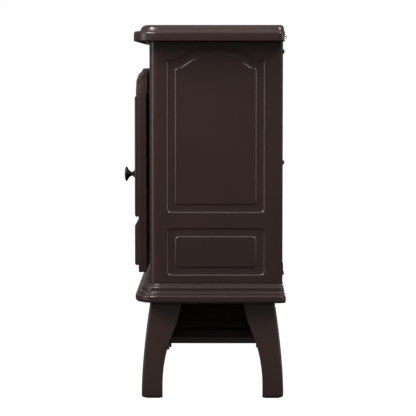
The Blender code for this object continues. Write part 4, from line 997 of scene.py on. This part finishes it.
def make_screw(replaced):
    """A pan-head screw with a cross recess and a plain pointed shank."""
    low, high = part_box(replaced)
    x, z = (low.x + high.x) / 2, (low.z + high.z) / 2
    radius = (high.x - low.x) / 2
    top = high.y
    seat = top - 0.0024
    work = bmesh.new()
    sides, rings = 48, []
    cross = 0.00055
    profile = [(0.0, 0.0), (0.18, 0.0), (0.32, 0.02), (0.46, 0.06), (0.60, 0.14), (0.74, 0.27), (0.86, 0.46),
               (0.95, 0.70), (1.0, 0.93), (1.0, 1.0)]
    for share, drop in profile:
        ring = []
        for c, s in turns(sides if share > 0 else 1):
            u, v = radius * share * c, radius * share * s
            y = top - (top - seat) * drop
            reach = radius * 0.52
            if min(abs(u), abs(v)) < cross and max(abs(u), abs(v)) < reach:
                y -= 0.0011
            ring.append(work.verts.new((x + u, y, z + v)))
        rings.append(ring)
    for reach, y in ((0.0018, seat), (0.0018, low.y + 0.0016), (0.0004, low.y)):
        rings.append([work.verts.new((x + reach * c, y, z + reach * s)) for c, s in turns(sides)])
    join_rows(work, rings)
    work.faces.new(rings[-1])
    face_outward(work)
    name = replaced.replace("rear_screw", "pan_screw")
    finished(work, name, [replaced], smooth=45.0, slot="black_steel")


for node_name in sorted(nodes):
    if node_name.startswith("rear_screw"):
        make_screw(node_name)

# ------------ heater tubes


def make_tube(replaced):
    """A quartz tube with a coiled wire in it and a ceramic cap on each end."""
    low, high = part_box(replaced)
    centre = (0.0, (low.y + high.y) / 2, (low.z + high.z) / 2)
    radius, half = (high.z - low.z) / 2, high.x
    work = bmesh.new()
    reach = half - 0.0120
    lathe(work, [(radius - 0.0010, -reach), (radius - 0.0003, -reach), (radius - 0.0003, reach),
                 (radius - 0.0010, reach), (radius - 0.0010, -reach)], centre, "X", 32)
    finished(work, replaced + "_wall", [replaced], slot="quartz")
    coil = bmesh.new()
    winds, around, wire, section = 110, 10, 0.0028, 0.00035
    rings = []
    for i in range(winds * around + 1):
        angle = 2 * math.pi * i / around
        along = -reach + 2 * reach * i / (winds * around)
        out = Vector((0.0, math.cos(angle), math.sin(angle)))
        middle = Vector(centre) + Vector((along, 0, 0)) + out * wire
        rings.append([middle + out * section * c + Vector((section * s, 0, 0)) for c, s in turns(5)])
    rings_skin(coil, rings, close_low=True, close_high=True)
    face_outward(coil)
    finished(coil, replaced + "_coil", slot="bright_steel")
    caps = bmesh.new()
    for side in (-1, 1):
        lathe(caps, [(0.0, side * half), (radius * 0.72, side * half), (radius, side * (half - 0.0012)),
                     (radius, side * (half - 0.0130)), (radius * 0.8, side * (half - 0.0150)),
                     (0.0, side * (half - 0.0150))], centre, "X", 32)
    bmesh.ops.recalc_face_normals(caps, faces=caps.faces)
    finished(caps, replaced + "_caps", slot="grey_plastic", materials=[CERAMIC])


make_tube("quartz_tube_front")
make_tube("quartz_tube_rear")

# ------------ control marks


def make_marks():
    """Printed ticks round the two control knobs, and a line and a ring by each rocker."""
    panel_low, panel_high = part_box("control_panel")
    face = panel_low.y - 0.00004
    work = bmesh.new()

    def stroke(u0, v0, u1, v1, width):
        """A thin flat bar from one place on the panel to another."""
        along = Vector((u1 - u0, v1 - v0))
        across = Vector((-along.y, along.x)).normalized() * width / 2
        corners = [Vector((u0, v0)) - across, Vector((u1, v1)) - across, Vector((u1, v1)) + across,
                   Vector((u0, v0)) + across]
        work.faces.new([work.verts.new((c.x, face, c.y)) for c in corners])

    for knob in ("thermostat_knob", "flame_knob"):
        low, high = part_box(knob)
        x, z = (low.x + high.x) / 2, (panel_low.z + panel_high.z) / 2
        reach = (high.x - low.x) / 2 + 0.0022
        for i in range(11):
            angle = math.radians(90 - 27 * i)
            length = 0.0022 if i % 5 == 0 else 0.0013
            stroke(x + reach * math.cos(angle), z + reach * math.sin(angle),
                   x + (reach + length) * math.cos(angle), z + (reach + length) * math.sin(angle), 0.0005)
    for rocker in ("power_rocker", "heat_rocker"):
        low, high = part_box(rocker)
        x = (low.x + high.x) / 2
        stroke(x, high.z + 0.0032, x, high.z + 0.0062, 0.0006)
        ring = [(x + 0.0015 * math.cos(math.radians(15 * i)),
                 low.z - 0.0048 + 0.0015 * math.sin(math.radians(15 * i))) for i in range(25)]
        for (u0, v0), (u1, v1) in zip(ring, ring[1:]):
            stroke(u0, v0, u1, v1, 0.0004)
    bmesh.ops.recalc_face_normals(work, faces=work.faces)
    finished(work, "control_marks", slot="black_plastic", materials=[WHITE_PRINT])


make_marks()

# ------------ pieces kept from the CAD

EDGE_WIDTHS = {
    0.0002: "element_frame",
    0.0003: "front_frame rear_panel cord_gland control_panel thermostat_knob flame_knob upper_hinge_bracket "
            "lower_hinge_bracket firebox_liner blower_housing",
    0.0004: "door_glass outlet_grille_right outlet_grille_left outlet_grille_front magnet_catch",
    0.0005: "blower_motor",
    0.0006: "outlet_pan foot_pad_front_right foot_pad_front_left foot_pad_rear_right foot_pad_rear_left "
            "power_rocker heat_rocker",
    0.0007: "door_mullions",
}
edge_width = {name: width for width, names in EDGE_WIDTHS.items() for name in names.split()}
for node_name, obj in nodes.items():
    for holder in obj.material_slots:
        holder.material = FINISHES[node_slots[node_name]]
    if node_name in edge_width:
        softened(obj, edge_width[node_name])

# ------------ floor, light and camera


def make_floor():
    """A wide, plain, pale floor. It looks white but throws little light back up."""
    work = bmesh.new()
    rim = arc((0.0, 0.0), 60.0, 0, 360, 96)[:-1]
    work.faces.new([work.verts.new((x, y, 0.0)) for x, y in rim])
    shape = bpy.data.meshes.new("pale_floor")
    work.to_mesh(shape)
    work.free()
    obj = bpy.data.objects.new("pale_floor", shape)
    bpy.context.scene.collection.objects.link(obj)
    made = Finish("pale_floor", (0.10, 0.10, 0.10), 0.7, Specular_IOR_Level=0.0)
    made.colour(made.mixed(made.noise(3.0, 2.0), (0.095, 0.095, 0.095), (0.105, 0.105, 0.105)))
    made.shader.inputs["Emission Color"].default_value = (1.0, 1.0, 1.0, 1.0)
    seen = made.add("ShaderNodeLightPath").outputs["Is Camera Ray"]
    made.link(seen, made.shader.inputs["Emission Strength"])
    shape.materials.append(made.material)


def make_world():
    """Dim walls under a slightly brighter ceiling, white to the camera. The lamps do the rest."""
    world = bpy.data.worlds.new("studio")
    world.use_nodes = True
    tree = world.node_tree
    add, link = tree.nodes.new, tree.links.new
    height, dome = add("ShaderNodeSeparateXYZ"), add("ShaderNodeMapRange")
    link(add("ShaderNodeTexCoord").outputs["Generated"], height.inputs["Vector"])
    link(height.outputs["Z"], dome.inputs["Value"])
    for socket, value in (("From Min", 0.20), ("From Max", 0.90), ("To Min", 0.22), ("To Max", 0.32)):
        dome.inputs[socket].default_value = value
    dim, bright = tree.nodes["Background"], add("ShaderNodeBackground")
    for backdrop in (dim, bright):
        backdrop.inputs["Color"].default_value = (1.0, 1.0, 1.0, 1.0)
        backdrop.inputs["Strength"].default_value = 1.0
    link(dome.outputs["Result"], dim.inputs["Strength"])
    choice = add("ShaderNodeMixShader")
    link(add("ShaderNodeLightPath").outputs["Is Camera Ray"], choice.inputs[0])
    link(dim.outputs[0], choice.inputs[1])
    link(bright.outputs[0], choice.inputs[2])
    link(choice.outputs[0], tree.nodes["World Output"].inputs["Surface"])
    bpy.context.scene.world = world


MIDDLE = (0.2, 0.0, 0.4)
LAMPS = (
    # name, place, what it points at, width, height, watts
    ("key", (1.25, -0.95, 1.40), (0.2, 0.0, 0.35), 0.6, 0.6, 15.0),
    ("front_strip", (0.9, -2.8, 0.7), MIDDLE, 0.7, 1.8, 15.0),
    ("rear_strip", (0.9, 2.8, 0.7), MIDDLE, 0.7, 1.8, 15.0),
    ("overhead_strip", (0.9, 0.0, 2.7), MIDDLE, 2.2, 0.30, 9.0),
    # below the top board, so that it lights the left side and not the top
    ("left_fill", (-1.9, 1.5, 0.42), (-0.1, 0.0, 0.35), 0.6, 0.5, 26.0),
    ("front_high", (1.0, -1.5, 2.2), MIDDLE, 0.4, 0.4, 28.0),
    ("rear_high", (1.35, 1.35, 2.3), MIDDLE, 0.4, 0.4, 30.0),
)


def make_lamp(name, place, target, width, height, watts):
    light = bpy.data.lights.new(name, "AREA")
    light.shape = "RECTANGLE"
    light.size = width
    light.size_y = height
    light.energy = watts
    obj = bpy.data.objects.new(name, light)
    obj.location = place
    obj.rotation_mode = "QUATERNION"
    obj.rotation_quaternion = (Vector(target) - Vector(place)).to_track_quat("-Z", "Y")
    obj.visible_camera = False
    bpy.context.scene.collection.objects.link(obj)


CAMERA_PLACE = (3.47, 0.0256, 0.5337)
CAMERA_LENS = 172.9
YAW, PITCH = 0.0063, 0.0712    # radians, from straight at the right side


def make_camera():
    """A long lens nearly level with the top board, square to the right side."""
    view_camera = bpy.data.cameras.new("camera")
    view_camera.lens = CAMERA_LENS
    view_camera.sensor_width = 36.0
    view_camera.clip_start = 0.05
    view_camera.clip_end = 200.0
    camera = bpy.data.objects.new("camera", view_camera)
    camera.location = CAMERA_PLACE
    camera.rotation_mode = "QUATERNION"
    aim = Vector((-math.cos(YAW) * math.cos(PITCH), -math.sin(YAW) * math.cos(PITCH), -math.sin(PITCH)))
    camera.rotation_quaternion = aim.to_track_quat("-Z", "Y")
    bpy.context.scene.collection.objects.link(camera)
    bpy.context.scene.camera = camera


make_floor()
make_world()
bpy.context.scene.view_settings.view_transform = "Standard"
bpy.context.scene.view_settings.look = "None"
for lamp in LAMPS:
    make_lamp(*lamp)
make_camera()
